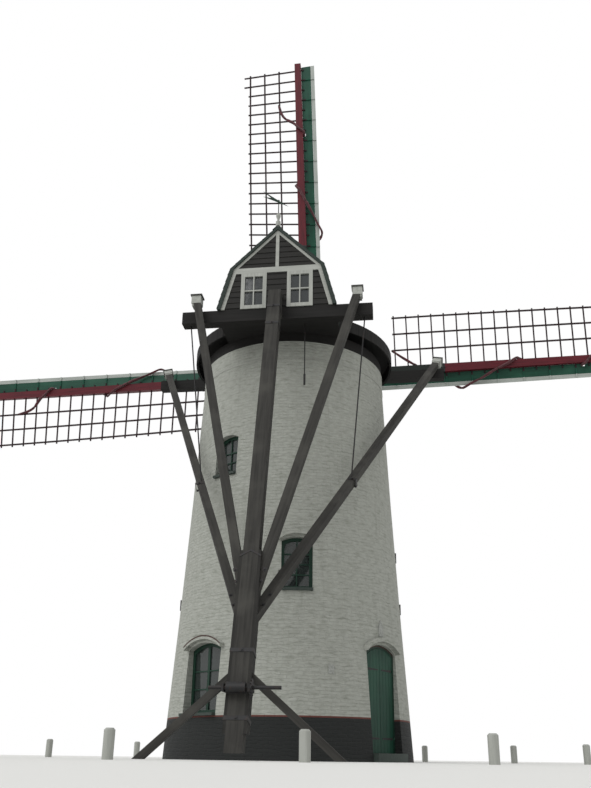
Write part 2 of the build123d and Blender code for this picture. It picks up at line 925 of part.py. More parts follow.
with BuildPart() as long_braces:
    for side in (-1, 1):
        top = Vector(side * long_brace_x, front_beam_y, long_brace_top_z)
        add(timber(brace_foot(side, long_brace_foot_z), top, brace_width, brace_width))
    for taken in (tail_pole, tail_cheeks, sprit_beams, short_braces):
        add(taken.part, mode=Mode.SUBTRACT)
long_braces.part.label = "long_braces"
export_step(long_braces.part, "parts/long_braces.step")

# Sloping hood over a timber's end of this size
def end_hood(seat_plane, across, along):
    with BuildPart() as cover:
        with BuildSketch(seat_plane):
            Rectangle(across + 2 * hood_overhang, along + 2 * hood_overhang)
        extrude(amount=hood_board)
        with BuildSketch(seat_plane.offset(hood_board)):
            Rectangle(across + 2 * hood_overhang, along + 2 * hood_overhang)
        extrude(amount=hood_slope_height, taper=hood_taper)
    return cover.part


# Small hoods on the ends of the braces
with BuildPart() as brace_caps:
    for top_face in short_braces.faces().group_by(Axis.Z)[-1]:
        size = top_face.bounding_box().size
        add(end_hood(Plane(origin=top_face.center(), z_dir=(0, 0, 1)), size.X, size.Y))
    for side in (-1, 1):
        top = Vector(side * long_brace_x, front_beam_y, long_brace_top_z)
        rise = top - brace_foot(side, long_brace_foot_z)
        add(end_hood(Plane(origin=top, x_dir=(1, 0, 0), z_dir=rise), brace_width, brace_width))
    add(gables.part, mode=Mode.SUBTRACT)
brace_caps.part.label = "brace_caps"
export_step(brace_caps.part, "parts/brace_caps.step")

# Iron rods from the ends of the rear beam down to the long braces, and one that hangs free
rod_top = Vector(beam_half - rod_from_end, gable_y + beam_depth / 2, beam_bottom)
long_brace_top = Vector(long_brace_x, front_beam_y, long_brace_top_z)
rod_foot = long_brace_top + (brace_foot(1, long_brace_foot_z) - long_brace_top) * rod_share
with BuildPart() as brace_irons:
    with BuildSketch(Plane(origin=rod_top, z_dir=rod_foot - rod_top)):
        Circle(rod_radius)
    extrude(amount=(rod_foot - rod_top).length)
    for taken in (long_braces, sprit_beams):
        add(taken.part, mode=Mode.SUBTRACT)
    mirror(about=Plane.YZ)
    for radius, bottom, top in (
        (hanger_radius, hanger_foot_z, sheer_bottom - soffit_thickness),
        (hanger_end_radius, hanger_foot_z, hanger_foot_z + hanger_end_length),
    ):
        with BuildSketch(Plane.XY.offset(bottom)):
            with Locations((hanger_x, hanger_y)):
                Circle(radius)
        extrude(amount=top - bottom)
brace_irons.part.label = "brace_irons"
export_step(brace_irons.part, "parts/brace_irons.step")

# Props that steady the foot of the tail, held just off the ground
with BuildPart() as props:
    for side in (-1, 1):
        start = (side * pole_half, tail_y(prop_top_z), prop_top_z)
        end = (side * prop_spread, tail_y(prop_top_z), -prop_width)
        add(timber(start, end, prop_width, prop_width, (0, 1, 0)))
    for taken in (tail_pole, tail_cheeks):
        add(taken.part, mode=Mode.SUBTRACT)
    split(bisect_by=Plane.XY.offset(prop_floor_gap), keep=Keep.TOP)
props.part.label = "props"
export_step(props.part, "parts/props.step")

# Windlass behind the tail: its spindle turns in two brackets on the cheeks
windlass_y = tail_y(windlass_z) - bracket_reach
with BuildPart() as windlass_brackets:
    for side in (-1, 1):
        with BuildSketch(Plane.YZ.offset(side * (tail_half + bracket_thickness / 2))):
            with Locations((tail_y(windlass_z) - bracket_reach / 2, windlass_z)):
                Rectangle(bracket_reach + 2 * bracket_end, bracket_height)
            with Locations((windlass_y, windlass_z)):
                Circle(windlass_radius + eye_clearance, mode=Mode.SUBTRACT)
        extrude(amount=bracket_thickness / 2, both=True)
windlass_brackets.part.label = "windlass_brackets"
export_step(windlass_brackets.part, "parts/windlass_brackets.step")


def spindle_plane(x):
    return Plane(origin=(x, windlass_y, windlass_z), x_dir=(0, 1, 0), z_dir=(1, 0, 0))


ratchet_x = tail_half + bracket_thickness + ratchet_gap
with BuildPart() as windlass:
    with BuildSketch(spindle_plane(-windlass_left)):
        Circle(windlass_radius)
    extrude(amount=windlass_left + windlass_right)
    with BuildSketch(spindle_plane(-drum_length / 2)):
        Circle(drum_radius)
    extrude(amount=drum_length)
    with BuildSketch(spindle_plane(ratchet_x)):
        Circle(ratchet_radius - ratchet_tooth)
        with PolarLocations(ratchet_radius - ratchet_tooth, ratchet_teeth):
            Rectangle(2 * ratchet_tooth, ratchet_tooth)
    extrude(amount=ratchet_thickness)
windlass.part.label = "windlass"
export_step(windlass.part, "parts/windlass.step")

# Turned finial on the rear end of the ridge, with the rod that carries the vane
finial_y = roof_rear + finial_radius
finial_base = ridge_z - roof_thickness
finial_top = finial_base + finial_height
with BuildPart() as finial:
    with BuildSketch(Plane.XZ.offset(-finial_y)):
        with BuildLine():
            Line((0, finial_base), (finial_radius, finial_base))
            Line((finial_radius, finial_base), (finial_radius, finial_base + finial_height / 2))
            Spline(
                (finial_radius, finial_base + finial_height / 2),
                (finial_radius / 2, finial_base + finial_height * 0.6),
                (finial_radius * 0.9, finial_base + finial_height * 0.8),
                (vane_rod_radius, finial_top),
            )
            Line((vane_rod_radius, finial_top), (vane_rod_radius, finial_top + vane_rod_height))
            Line((vane_rod_radius, finial_top + vane_rod_height), (0, finial_top + vane_rod_height))
            Line((0, finial_top + vane_rod_height), (0, finial_base))
        make_face()
    revolve(axis=Axis((0, finial_y, 0), (0, 0, 1)))
    for taken in (roofs["roof_left"], roofs["roof_right"], gables.part, gable_trim.part):
        add(taken, mode=Mode.SUBTRACT)
finial.part.label = "finial"
export_step(finial.part, "parts/finial.step")

# Swallow-tailed vane that turns on the rod; its tail points along vane_azimuth
vane_z = finial_top + vane_rod_height - vane_sleeve_rise - vane_sleeve_height / 2
vane_plane = Plane(
    origin=(0, finial_y, vane_z), x_dir=vector_at(vane_azimuth, 1), z_dir=vector_at(vane_azimuth - 90, 1)
)
vane_tail = vane_length * vane_tail_share
vane_head = vane_length - vane_tail
with BuildPart() as vane:
    with BuildSketch(vane_plane):
        with BuildLine():
            Polyline(
                (-vane_head, 0),
                (vane_tail, -vane_height / 2),
                (vane_tail - vane_notch, 0),
                (vane_tail, vane_height / 2),
                close=True,
            )
        make_face()
    extrude(amount=vane_thickness / 2, both=True)
    with BuildSketch(Plane(origin=(0, finial_y, vane_z), z_dir=(0, 0, 1))):
        Circle(2 * vane_rod_radius)
    extrude(amount=vane_sleeve_height / 2, both=True)
    with BuildSketch(Plane(origin=(0, finial_y, vane_z), z_dir=(0, 0, 1))):
        Circle(vane_rod_radius + eye_clearance)
    extrude(amount=vane_sleeve_height / 2, both=True, mode=Mode.SUBTRACT)
vane.part.label = "vane"
export_step(vane.part, "parts/vane.step")


# Frame of one blade: local X out along the blade, Y its leading side, Z the shaft's axis
def blade_plane(quarter):
    angle = radians(sail_phase + 90 * quarter)
    along = shaft_up * cos(angle) + Vector(1, 0, 0) * sin(angle)
    offset_along = stock_offset if quarter % 2 else -stock_offset
    return Plane(origin=hub + shaft_axis * offset_along, x_dir=along, z_dir=shaft_axis)


# Cross-section of a blade: local X runs to the trailing edge, Y to the side of the tower
def station(reach):
    share = (sail_length - reach) / sail_length
    twist = radians(tip_twist + (hub_twist - tip_twist) * share)
    return Plane(origin=(reach, 0, 0), x_dir=(0, -cos(twist), -sin(twist)), z_dir=(1, 0, 0))


def stock_half(reach):
    return between(stock_hub_width, stock_tip_width, reach / sail_length) / 2


# Strip that follows the twist, lofted from station to station between its edges at its two ends
def twisted_strip(ends, edges_at_start, edges_at_end, off, depth):
    with BuildPart() as strip:
        for step in range(twist_steps + 1):
            share = step / twist_steps
            near = between(edges_at_start[0], edges_at_end[0], share)
            far = between(edges_at_start[1], edges_at_end[1], share)
            with BuildSketch(station(between(*ends, share))):
                with Locations(((near + far) / 2, off)):
                    Rectangle(abs(far - near), depth)
        loft(ruled=True)
    return strip.part


with BuildPart() as half_stock:
    for reach, width, depth in (
        (0, stock_hub_width, stock_hub_depth),
        (sail_length, stock_tip_width, stock_tip_depth),
    ):
        with BuildSketch(Plane.YZ.offset(reach)):
            Rectangle(width, depth)
    loft(ruled=True)

last_bar = sail_length - first_bar_from_tip
bar_reaches = [between(innermost_bar, last_bar, index / (bar_count - 1)) for index in range(bar_count)]
lath_places = [inner_lath + index * lath_spacing for index in range(lath_count)]

# Lattice of one blade: bars mortised into the stock, laths across their backs
with BuildPart() as lattice:
    for index, reach in enumerate(bar_reaches):
        near_tip = index >= bar_count - tip_bar_count
        length = lath_places[-1] + (tip_bar_overhang if near_tip else bar_overhang)
        with BuildSketch(station(reach)):
            with Locations((length / 2, 0)):
                Rectangle(length, bar_depth)
        extrude(amount=bar_width / 2, both=True)
    for across in lath_places:
        edges = (across - lath_width / 2, across + lath_width / 2)
        off = (bar_depth + lath_depth) / 2 - joint_depth
        ends = (innermost_bar - lath_overhang, last_bar + lath_overhang)
        add(twisted_strip(ends, edges, edges, off, lath_depth))
    add(half_stock.part, mode=Mode.SUBTRACT)

# Wind boards of one blade, a wide one and a leading edge, with the bars that carry them
with BuildPart() as board:
    for index, reach in enumerate(bar_reaches):
        length = stock_half(reach) + board_gap + stub_length if index % 2 else board_outer
        with BuildSketch(station(reach)):
            with Locations((-length / 2, 0)):
                Rectangle(length, bar_depth)
        extrude(amount=bar_width / 2, both=True)
    ends = (board_start, sail_length - board_end_from_tip)
    stock_sides = [-stock_half(reach) - board_gap for reach in ends]
    off = joint_depth - (bar_depth + board_thickness) / 2
    for edges_at_start, edges_at_end in (
        ((stock_sides[0], -board_split), (stock_sides[1], -board_split)),
        ((-board_split - board_seam, -board_outer), (-board_split - board_seam, -board_outer)),
    ):
        add(twisted_strip(ends, edges_at_start, edges_at_end, off, board_thickness))
    # Notch beside the stock, where the furled cloth passes to the front
    notch_edge = stock_half(notch_reach) + board_gap + notch_depth
    with Locations((notch_reach, notch_edge / 2, 0)):
        Box(notch_length, notch_edge, stock_hub_depth, mode=Mode.SUBTRACT)
    add(half_stock.part, mode=Mode.SUBTRACT)

# Furled cloth of one blade: a roll swept along its route, one length after another
with BuildLine() as cloth_line:
    Spline(*[(reach, -across, off) for reach, across, off in cloth_route])
with BuildPart() as cloth_roll:
    for step in range(cloth_lengths):
        with BuildLine() as length:
            add(cloth_line.edge().trim(step / cloth_lengths, (step + 1) / cloth_lengths))
        with BuildSketch(Plane(origin=length.line @ 0, z_dir=length.line % 0)):
            Circle(cloth_radius)
        sweep(path=length.line, clean=False)

with BuildPart() as stocks:
    for quarter in range(4):
        with Locations(blade_plane(quarter)):
            add(half_stock.part)
stocks.part.label = "stocks"
export_step(stocks.part, "parts/stocks.step")

with BuildPart() as sail_frames:
    for quarter in range(4):
        with Locations(blade_plane(quarter)):
            add(lattice.part)
sail_frames.part.label = "sail_frames"
export_step(sail_frames.part, "parts/sail_frames.step")

with BuildPart() as wind_boards:
    for quarter in range(4):
        with Locations(blade_plane(quarter)):
            add(board.part)
wind_boards.part.label = "wind_boards"
export_step(wind_boards.part, "parts/wind_boards.step")

with BuildPart() as furled_sails:
    for quarter in range(4):
        with Locations(blade_plane(quarter)):
            add(cloth_roll.part)
furled_sails.part.label = "furled_sails"
export_step(furled_sails.part, "parts/furled_sails.step")

# Windshaft: poll end with the two mortises, then a tapering shaft back to the tail bearing
poll_rear = Plane(origin=hub - shaft_axis * (poll_length / 2), x_dir=(1, 0, 0), z_dir=shaft_axis)
with BuildPart() as poll_end:
    with BuildSketch(poll_rear):
        Rectangle(poll_size, poll_size)
    extrude(amount=poll_length)
    chamfer(poll_end.edges().group_by(Axis.Y)[0], poll_bevel)
    add(stocks.part, mode=Mode.SUBTRACT)
poll_end.part.label = "poll_end"
export_step(poll_end.part, "parts/poll_end.step")

neck = shaft_plane(front_bearing_y - trestle_thickness)
journal = shaft_plane(tail_bearing_y + trestle_thickness)
tail_end = shaft_plane(tail_bearing_y - trestle_thickness)
with BuildPart() as windshaft:
    with BuildSketch(neck):
        Circle(shaft_radius)
    extrude(amount=(poll_rear.origin - neck.origin).length)
    with BuildSketch(neck):
        Circle(shaft_radius)
    with BuildSketch(journal):
        Circle(tail_shaft_radius)
    loft(ruled=True)
    with BuildSketch(tail_end):
        Circle(tail_shaft_radius)
    extrude(amount=(journal.origin - tail_end.origin).length)
windshaft.part.label = "windshaft"
export_step(windshaft.part, "parts/windshaft.step")
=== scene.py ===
import json
from math import cos, exp, hypot, pi, radians, sin, sqrt

import bmesh
import bpy
import numpy as np
from mathutils import Matrix, Vector


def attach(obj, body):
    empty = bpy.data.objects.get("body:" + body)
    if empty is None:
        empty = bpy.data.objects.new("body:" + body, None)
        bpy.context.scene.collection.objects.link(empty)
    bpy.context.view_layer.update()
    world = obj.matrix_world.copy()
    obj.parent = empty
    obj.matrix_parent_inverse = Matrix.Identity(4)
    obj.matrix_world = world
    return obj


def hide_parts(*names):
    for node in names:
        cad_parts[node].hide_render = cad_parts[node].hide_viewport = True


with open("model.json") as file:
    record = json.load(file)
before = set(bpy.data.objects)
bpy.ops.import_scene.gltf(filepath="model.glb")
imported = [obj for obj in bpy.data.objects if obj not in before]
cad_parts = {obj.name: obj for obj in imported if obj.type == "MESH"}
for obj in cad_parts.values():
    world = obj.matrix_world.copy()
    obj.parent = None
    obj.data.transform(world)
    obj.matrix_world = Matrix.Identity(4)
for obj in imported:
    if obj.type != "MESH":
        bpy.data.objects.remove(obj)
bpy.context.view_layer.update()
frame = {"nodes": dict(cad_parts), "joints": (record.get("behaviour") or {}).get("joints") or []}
joints = {joint["name"]: joint for joint in frame["joints"]}
print("frame loaded:", len(frame["nodes"]), "nodes")


# Colours are written as sRGB hex
def toLinear(hexText):
    channels = [int(hexText[i : i + 2], 16) / 255 for i in (1, 3, 5)]
    return tuple(c / 12.92 if c <= 0.04045 else ((c + 0.055) / 1.055) ** 2.4 for c in channels) + (1,)


# Settings and links of a node: a socket is linked, hex becomes a colour, a number picks an input by place
def setNode(tree, node, settings):
    for name, value in settings.items():
        if isinstance(value, bpy.types.NodeSocket):
            tree.links.new(value, node.inputs[name])
        elif isinstance(name, str) and name not in node.inputs:
            setattr(node, name, value)
        else:
            node.inputs[name].default_value = toLinear(value) if isinstance(value, str) else value


# One shader node, its kind written without the leading ShaderNode; gives its outputs
def addNode(tree, kind, settings):
    node = tree.nodes.new("ShaderNode" + kind)
    setNode(tree, node, settings)
    return node.outputs


# Lays one colour over another where a value runs from start to end
def layOver(tree, colour, over, value, start, end):
    share = addNode(tree, "MapRange", {"Value": value, "From Min": start, "From Max": end})[0]
    return addNode(tree, "Mix", {"data_type": "RGBA", 0: share, 6: colour, 7: over})[2]


def startMaterial(name):
    material = bpy.data.materials.new(name)
    material.use_nodes = True
    tree = material.node_tree
    return material, tree, tree.nodes["Principled BSDF"]


# Colour, roughness and relief of a surface, and what else it needs
def finishSurface(tree, shader, colour, roughness, relief, others=None):
    height, strength, distance = relief
    bump = addNode(tree, "Bump", {"Height": height, "Strength": strength, "Distance": distance})[0]
    setNode(tree, shader, {"Base Color": colour, "Roughness": roughness, "Normal": bump, **(others or {})})


# Limewashed brickwork: rough hand-laid courses under many coats of limewash, so the joints only show as soft
# wavy lines, with painted shadow in the hollows along them; the foot is tarred, with a thin red-brown line on
# top of the tar
brickwork = {
    "brickLength": 0.22, "courseHeight": 0.078, "bricksRound": 78, "joint": 0.014, "waver": 0.11,
    "wash": "#a0a29b", "washShadowAndMottle": "#85887f", "grime": "#7e8178", "tar": "#161918", "tarLine": "#5b322c",
    "tarTop": 0.865, "lineTop": 0.9, "lineEdge": 0.004, "relief": 0.014,
}


def limewashedBrick():
    look = brickwork
    material, tree, shader = startMaterial("limewashed brick")
    place = addNode(tree, "TexCoord", {})["Object"]
    x, y, z = addNode(tree, "SeparateXYZ", {0: place})
    angle = addNode(tree, "Math", {"operation": "ARCTAN2", 0: y, 1: x})[0]
    radius = look["brickLength"] * look["bricksRound"] / (2 * pi)
    aroundWall = addNode(tree, "Math", {"operation": "MULTIPLY", 0: angle, 1: radius})[0]
    flat = addNode(tree, "CombineXYZ", {"X": aroundWall, "Y": z})[0]
    # Courses waver, mostly by less than 20 mm
    waver = addNode(tree, "TexNoise", {"Scale": 3.4, "Detail": 3.0, "Vector": place})["Color"]
    shift = addNode(tree, "VectorMath", {"operation": "SUBTRACT", 0: waver, 1: (0.5, 0.5, 0.5)})[0]
    shift = addNode(tree, "VectorMath", {"operation": "SCALE", 0: shift, "Scale": look["waver"]})[0]
    wavy = addNode(tree, "VectorMath", {"operation": "ADD", 0: flat, 1: shift})[0]
    courses = {
        "Vector": wavy, "Scale": 1.0, "Brick Width": look["brickLength"], "Row Height": look["courseHeight"],
        "Mortar Size": look["joint"], "Mortar Smooth": 0.8, "Mortar": (0, 0, 0, 1),
        "Color1": (0.35, 0.35, 0.35, 1), "Color2": (1, 1, 1, 1),
    }
    bricks = addNode(tree, "TexBrick", courses)
    # Stretches where the joints stand open, and stretches where the wash has filled them
    patches = addNode(tree, "TexNoise", {"Scale": 0.7, "Detail": 5.0, "Vector": place})["Fac"]
    openJoints = addNode(tree, "MapRange", {"Value": patches, "From Min": 0.32, "From Max": 0.75})[0]
    joint = addNode(tree, "Math", {"operation": "MULTIPLY", 0: bricks["Fac"], 1: openJoints})[0]
    # Short dark strokes along the courses: painted shadow in the hollows where the wash has run in
    stretched = addNode(tree, "Mapping", {"Scale": (4.2, 16.0, 1.0), "Vector": wavy})[0]
    strokes = addNode(tree, "TexNoise", {"Scale": 1.0, "Detail": 4.0, "Vector": stretched})["Fac"]
    hollowShadow = addNode(tree, "MapRange", {"Value": strokes, "From Min": 0.5, "From Max": 0.28})[0]
    faint = addNode(tree, "Math", {"operation": "MULTIPLY", 0: joint, 1: 0.4})[0]
    jointsAndShadow = addNode(tree, "Math", {"operation": "MAXIMUM", 0: faint, 1: hollowShadow})[0]
    # Rain streaks, narrow across and long down the wall
    tall = addNode(tree, "Mapping", {"Scale": (7.0, 7.0, 0.45), "Vector": place})[0]
    streaks = addNode(tree, "TexNoise", {"Scale": 1.0, "Detail": 5.0, "Vector": tall})["Fac"]
    mottle = addNode(tree, "TexNoise", {"Scale": 9.0, "Detail": 6.0, "Vector": place})["Fac"]
    # The darker wash colour marks the dark joints and paints the shadow strokes; it also lays the mottles
    # below
    colour = addNode(tree, "Mix", {"data_type": "RGBA", 0: jointsAndShadow, 6: look["wash"], 7: look["washShadowAndMottle"]})[2]
    colour = layOver(tree, colour, look["grime"], streaks, 0.58, 1.05)
    colour = layOver(tree, colour, look["washShadowAndMottle"], mottle, 0.35, 1.1)
    for top, paint in ((look["lineTop"], look["tarLine"]), (look["tarTop"], look["tar"])):
        colour = layOver(tree, colour, paint, z, top + look["lineEdge"], top)
    # Brick faces stand out of the joints by different amounts, and the brush leaves a rough skin
    height = addNode(tree, "Math", {"operation": "MULTIPLY", 0: bricks["Fac"], 1: -0.7})[0]
    for value, share in ((bricks["Color"], 0.4), (mottle, 0.9), (strokes, 1.9)):
        height = addNode(tree, "Math", {"operation": "MULTIPLY_ADD", 0: value, 1: share, 2: height})[0]
    finishSurface(tree, shader, colour, 0.88, (height, 0.6, look["relief"]))
    return material


# Shine of tar, old paint and bare oak: low enough that they stay dark under a pale sky
dullShine = 0.2


# Wood under paint, tar or weather: fibres run along the piece, read from its own grain attribute
def fibrousWood(name, roughness, light, dark, stain, fibreAcross=0.02, relief=0.4):
    material, tree, shader = startMaterial(name)
    grain = addNode(tree, "Attribute", {"attribute_name": "grain"})["Vector"]
    along = addNode(tree, "Mapping", {"Scale": (0.06, 1.0, 1.0), "Vector": grain})[0]
    fine = {"Scale": 0.5 / fibreAcross, "Detail": 7.0, "Roughness": 0.6, "Vector": along}
    fibres = addNode(tree, "TexNoise", fine)["Fac"]
    place = addNode(tree, "TexCoord", {})["Object"]
    patches = addNode(tree, "TexNoise", {"Scale": 1.4, "Detail": 4.0, "Vector": place})["Fac"]
    wood = layOver(tree, dark, light, fibres, 0.3, 0.7)
    stained = layOver(tree, wood, stain, patches, 0.48, 0.75)
    dull = {"Specular IOR Level": dullShine}
    finishSurface(tree, shader, stained, roughness, (fibres, relief, 0.006), dull)
    return material


# Bars behind the wind boards: tarred beside the stock, then green, and white under the boards' edge
barPaint = {"steps": ((0.26, "#1b4a3a"), (0.45, "#9fa49f")), "blur": 0.002}


def paintBarEnds(material):
    tree = material.node_tree
    shader = tree.nodes["Principled BSDF"]
    colour = shader.inputs["Base Color"].links[0].from_socket
    place = addNode(tree, "Attribute", {"attribute_name": "bladePlace"})["Vector"]
    leading = addNode(tree, "SeparateXYZ", {0: place})["Y"]
    for start, paint in barPaint["steps"]:
        colour = layOver(tree, colour, paint, leading, start - barPaint["blur"], start + barPaint["blur"])
    setNode(tree, shader, {"Base Color": colour})
    return material


# Painted iron with rust coming through, or speckled stone: patches of one colour on another, which also
# make the relief
patchy = {
    "iron": {"scale": 14.0, "detail": 5.0, "start": 0.5, "end": 0.85, "strength": 0.3, "distance": 0.003},
    "stone": {"scale": 25.0, "detail": 6.0, "start": 0.35, "end": 0.7, "strength": 0.35, "distance": 0.004},
}


def patchySurface(kind, name, base, patch, roughness=0.55, metallic=0.35):
    look = patchy[kind]
    material, tree, shader = startMaterial(name)
    place = addNode(tree, "TexCoord", {})["Object"]
    noise = {"Scale": look["scale"], "Detail": look["detail"], "Vector": place}
    patches = addNode(tree, "TexNoise", noise)["Fac"]
    colour = layOver(tree, base, patch, patches, look["start"], look["end"])
    relief = (patches, look["strength"], look["distance"])
    finishSurface(tree, shader, colour, roughness, relief, {"Metallic": metallic})
    return material


# Stocks: dark red paint outside, black-green where they near the hub
stockLook = {"red": "#5a1a23", "redWorn": "#43141b", "inner": "#1d2420", "change": 4.4, "blur": 0.02}


def stockPaint():
    look = stockLook
    material, tree, shader = startMaterial("painted pitch pine stock")
    place = addNode(tree, "TexCoord", {})["Object"]
    hub = tuple(joints["sails_turn"]["pos_m"])
    reach = addNode(tree, "VectorMath", {"operation": "DISTANCE", 0: place, 1: hub})["Value"]
    grain = addNode(tree, "Attribute", {"attribute_name": "grain"})["Vector"]
    along = addNode(tree, "Mapping", {"Scale": (0.08, 1.0, 1.0), "Vector": grain})[0]
    fibres = addNode(tree, "TexNoise", {"Scale": 22.0, "Detail": 6.0, "Vector": along})["Fac"]
    red = layOver(tree, look["red"], look["redWorn"], fibres, 0.4, 0.75)
    colour = layOver(tree, red, look["inner"], reach, look["change"] + look["blur"], look["change"])
    finishSurface(tree, shader, colour, 0.5, (fibres, 0.25, 0.004), {"Specular IOR Level": dullShine})
    return material


# Flax canvas dyed with red ochre and oil: dull dark red in blots; its threads show one way only, and are
# drawn coarser than the real 1 mm ones so that they show
def ochreCanvas():
    material, tree, shader = startMaterial("red ochre sail canvas")
    lie = addNode(tree, "Attribute", {"attribute_name": "clothLie"})["Vector"]
    weave = {"Scale": 60.0, "Distortion": 1.5, "Detail": 2.0, "Vector": lie}
    threads = addNode(tree, "TexWave", weave)["Fac"]
    blotch = addNode(tree, "TexNoise", {"Scale": 6.0, "Detail": 5.0, "Vector": lie})["Fac"]
    cloth = layOver(tree, "#54232a", "#38161b", blotch, 0.35, 0.7)
    finishSurface(tree, shader, cloth, 0.92, (threads, 0.2, 0.002), {"Sheen Weight": 0.25})
    return material


# Old drawn glass: slightly wavy; its dark tint and the share that is not clear are painted shade, so that the
# room behind it looks dark
def windowGlass(name, paintedShadeTint, clear):
    material, tree, shader = startMaterial(name)
    place = addNode(tree, "TexCoord", {})["Object"]
    waves = addNode(tree, "TexNoise", {"Scale": 4.0, "Detail": 1.0, "Vector": place})["Fac"]
    seeThrough = {"Transmission Weight": clear, "IOR": 1.5}
    finishSurface(tree, shader, paintedShadeTint, 0.06, (waves, 0.12, 0.01), seeThrough)
    return material


finishes = {
    "wall": limewashedBrick(),
    "stock": stockPaint(),
    "canvas": ochreCanvas(),
    # Tower panes catch the sky a little; those under the roof get a darker tint and are less clear, as
    # painted shade
    "glass": windowGlass("old drawn glass, painted dark room behind", "#3c4341", 0.45),
    "capGlass": windowGlass("old drawn glass under the roof, painted dark", "#34393a", 0.3),
    # Straps, bands and nuts: black, with rust just showing
    "iron": patchySurface("iron", "black painted wrought iron", "#1b1b1c", "#33231c"),
    # The hoop was washed with the wall and fades into it
    "washedIron": patchySurface("iron", "limewashed iron", "#92948d", "#777870"),
    # Shaft and poll end: black with a cooler cast
    "castIron": patchySurface("iron", "black painted cast iron", "#202223", "#2c241f"),
    # Plates on the wall: a shade cleaner than the wash round them
    "stone": patchySurface("stone", "painted stone plate", "#9fa19c", "#7f817d", 0.85, 0),
    # Sills and steps: dark green-grey, smoother
    "blueStone": patchySurface("stone", "dark painted sill stone", "#28352e", "#1d2723", 0.6, 0),
    # Floor inside: dusty brown brick
    "floorBrick": patchySurface("stone", "worn floor bricks", "#8b7b6d", "#6d5f54", 0.85, 0),
}

# Finishes of wood: what it is, roughness, colours of its light and dark fibres and of its stains, and
# where they differ from the usual ones, the fibres' width and their relief
woods = {
    # Tail and braces: oak gone brown-grey, with darker checks along the grain
    "tailOak": ("weathered tail oak", 0.8, "#3d3c39", "#2a2927", "#454440", 0.03, 0.6),
    # Foot of the tail: tarred again each few years, so darker than the pole above it
    "cheekOak": ("tarred oak cheeks", 0.8, "#2d2c2a", "#1e1e1c", "#353431", 0.03, 0.6),
    # Framing that stays dry under the roof: warm brown
    "capOak": ("bare oak framing", 0.8, "#6a5f50", "#4a4238", "#5a5044"),
    # Boards of the gables: near-black, dull
    "tarredBoards": ("tarred weatherboards", 0.75, "#2c2b29", "#1f1f1e", "#262523", 0.025, 0.5),
    # Beams, curb and skirt: tarred, and made blacker than the boards as painted shade under the cap
    "tarredOak": ("tarred oak framing with painted shade", 0.8, "#252423", "#191918", "#1f1e1d", 0.03, 0.4),
    # Cleft shingles under dark green-grey paint
    "roofOak": ("painted oak shingles", 0.75, "#37403b", "#232a27", "#2b3330", 0.02, 0.5),
    # Bargeboards, cap windows, posts and brace ends: white gone grey
    "whitePaint": ("white oil paint on wood", 0.45, "#a6a8a2", "#8d8f89", "#989a94", 0.03, 0.2),
    # Frames and window bars: green that reads as black from afar
    "greenPaint": ("dark green oil paint on wood", 0.4, "#1e3a2d", "#172c23", "#1b3329", 0.03, 0.2),
    # Door leaves: a clearer green, streaked along the boards
    "doorPaint": ("green oil paint on door boards", 0.45, "#1b4133", "#143227", "#204838", 0.03, 0.3),
    # Wind boards: green, with the white edge that draws the outline of the sail
    "boardPaint": ("green oil paint on sail boards", 0.5, "#1b4a3a", "#14372b", "#22513f", 0.03, 0.3),
    "edgePaint": ("white oil paint on sail boards", 0.5, "#aeb3ae", "#8f948f", "#9ea39e", 0.03, 0.2),
    # Lattice: dark bars with a trace of red
    "latticeTar": ("tarred lattice lath", 0.7, "#35272a", "#211a1b", "#2c2020", 0.02, 0.3),
    # Ties: a brown line across the red cloth
    "hempLine": ("tarred hemp line", 0.9, "#4b4136", "#362f27", "#40382f", 0.008, 0.3),
    # Floors above: pale dry boards
    "deal": ("bare deal floor boards", 0.8, "#8c7658", "#6c5a43", "#7b684e", 0.02, 0.4),
    # Line over the arches: faded red-brown
    "redPaint": ("red-brown oil paint", 0.5, "#4c3934", "#3d2e2a", "#453430", 0.03, 0.2),
}
for key, look in woods.items():
    finishes[key] = fibrousWood(*look)
finishes["latticeBars"] = paintBarEnds(fibrousWood("tarred lattice bars", *woods["latticeTar"][1:]))
print("materials:", len(finishes))


# Labels the separate solids of a mesh; vertices in one place count as one
def solidsOf(mesh):
    places = np.empty(len(mesh.vertices) * 3)
    mesh.vertices.foreach_get("co", places)
    places = places.reshape(-1, 3)
    edges = np.empty(len(mesh.edges) * 2, dtype=np.int64)
    mesh.edges.foreach_get("vertices", edges)
    keys, same = np.unique(np.round(places, 5), axis=0, return_inverse=True)
    ends = same.reshape(-1)[edges.reshape(-1, 2)]
    labels = np.arange(len(keys))
    while True:
        lower = np.minimum(labels[ends[:, 0]], labels[ends[:, 1]])
        spread = labels.copy()
        np.minimum.at(spread, ends[:, 0], lower)
        np.minimum.at(spread, ends[:, 1], lower)
        spread = spread[spread]
        if (spread == labels).all():
            return places, labels[same.reshape(-1)]
        labels = spread


# Stores for each vertex how far it lies along and across its own solid, for wood that shows its fibres
def markGrain(piece):
    mesh = piece.data
    places, labels = solidsOf(mesh)
    grain = np.zeros_like(places)
    for label in np.unique(labels):
        chosen = labels == label
        middle = places[chosen].mean(axis=0)
        spread = places[chosen] - middle
        if len(spread) < 4000:
            axes = np.linalg.svd(spread, full_matrices=False)[2]
        else:
            axes = np.linalg.eigh(spread.T @ spread)[1][:, ::-1].T
        grain[chosen] = spread @ axes.T + middle
    store = mesh.attributes.new("grain", "FLOAT_VECTOR", "POINT")
    store.data.foreach_set("vector", grain.astype(np.float32).ravel())


def dress(node, finish):
    piece = frame["nodes"][node]
    piece.data.materials.clear()
    piece.data.materials.append(finishes[finish])
    return piece


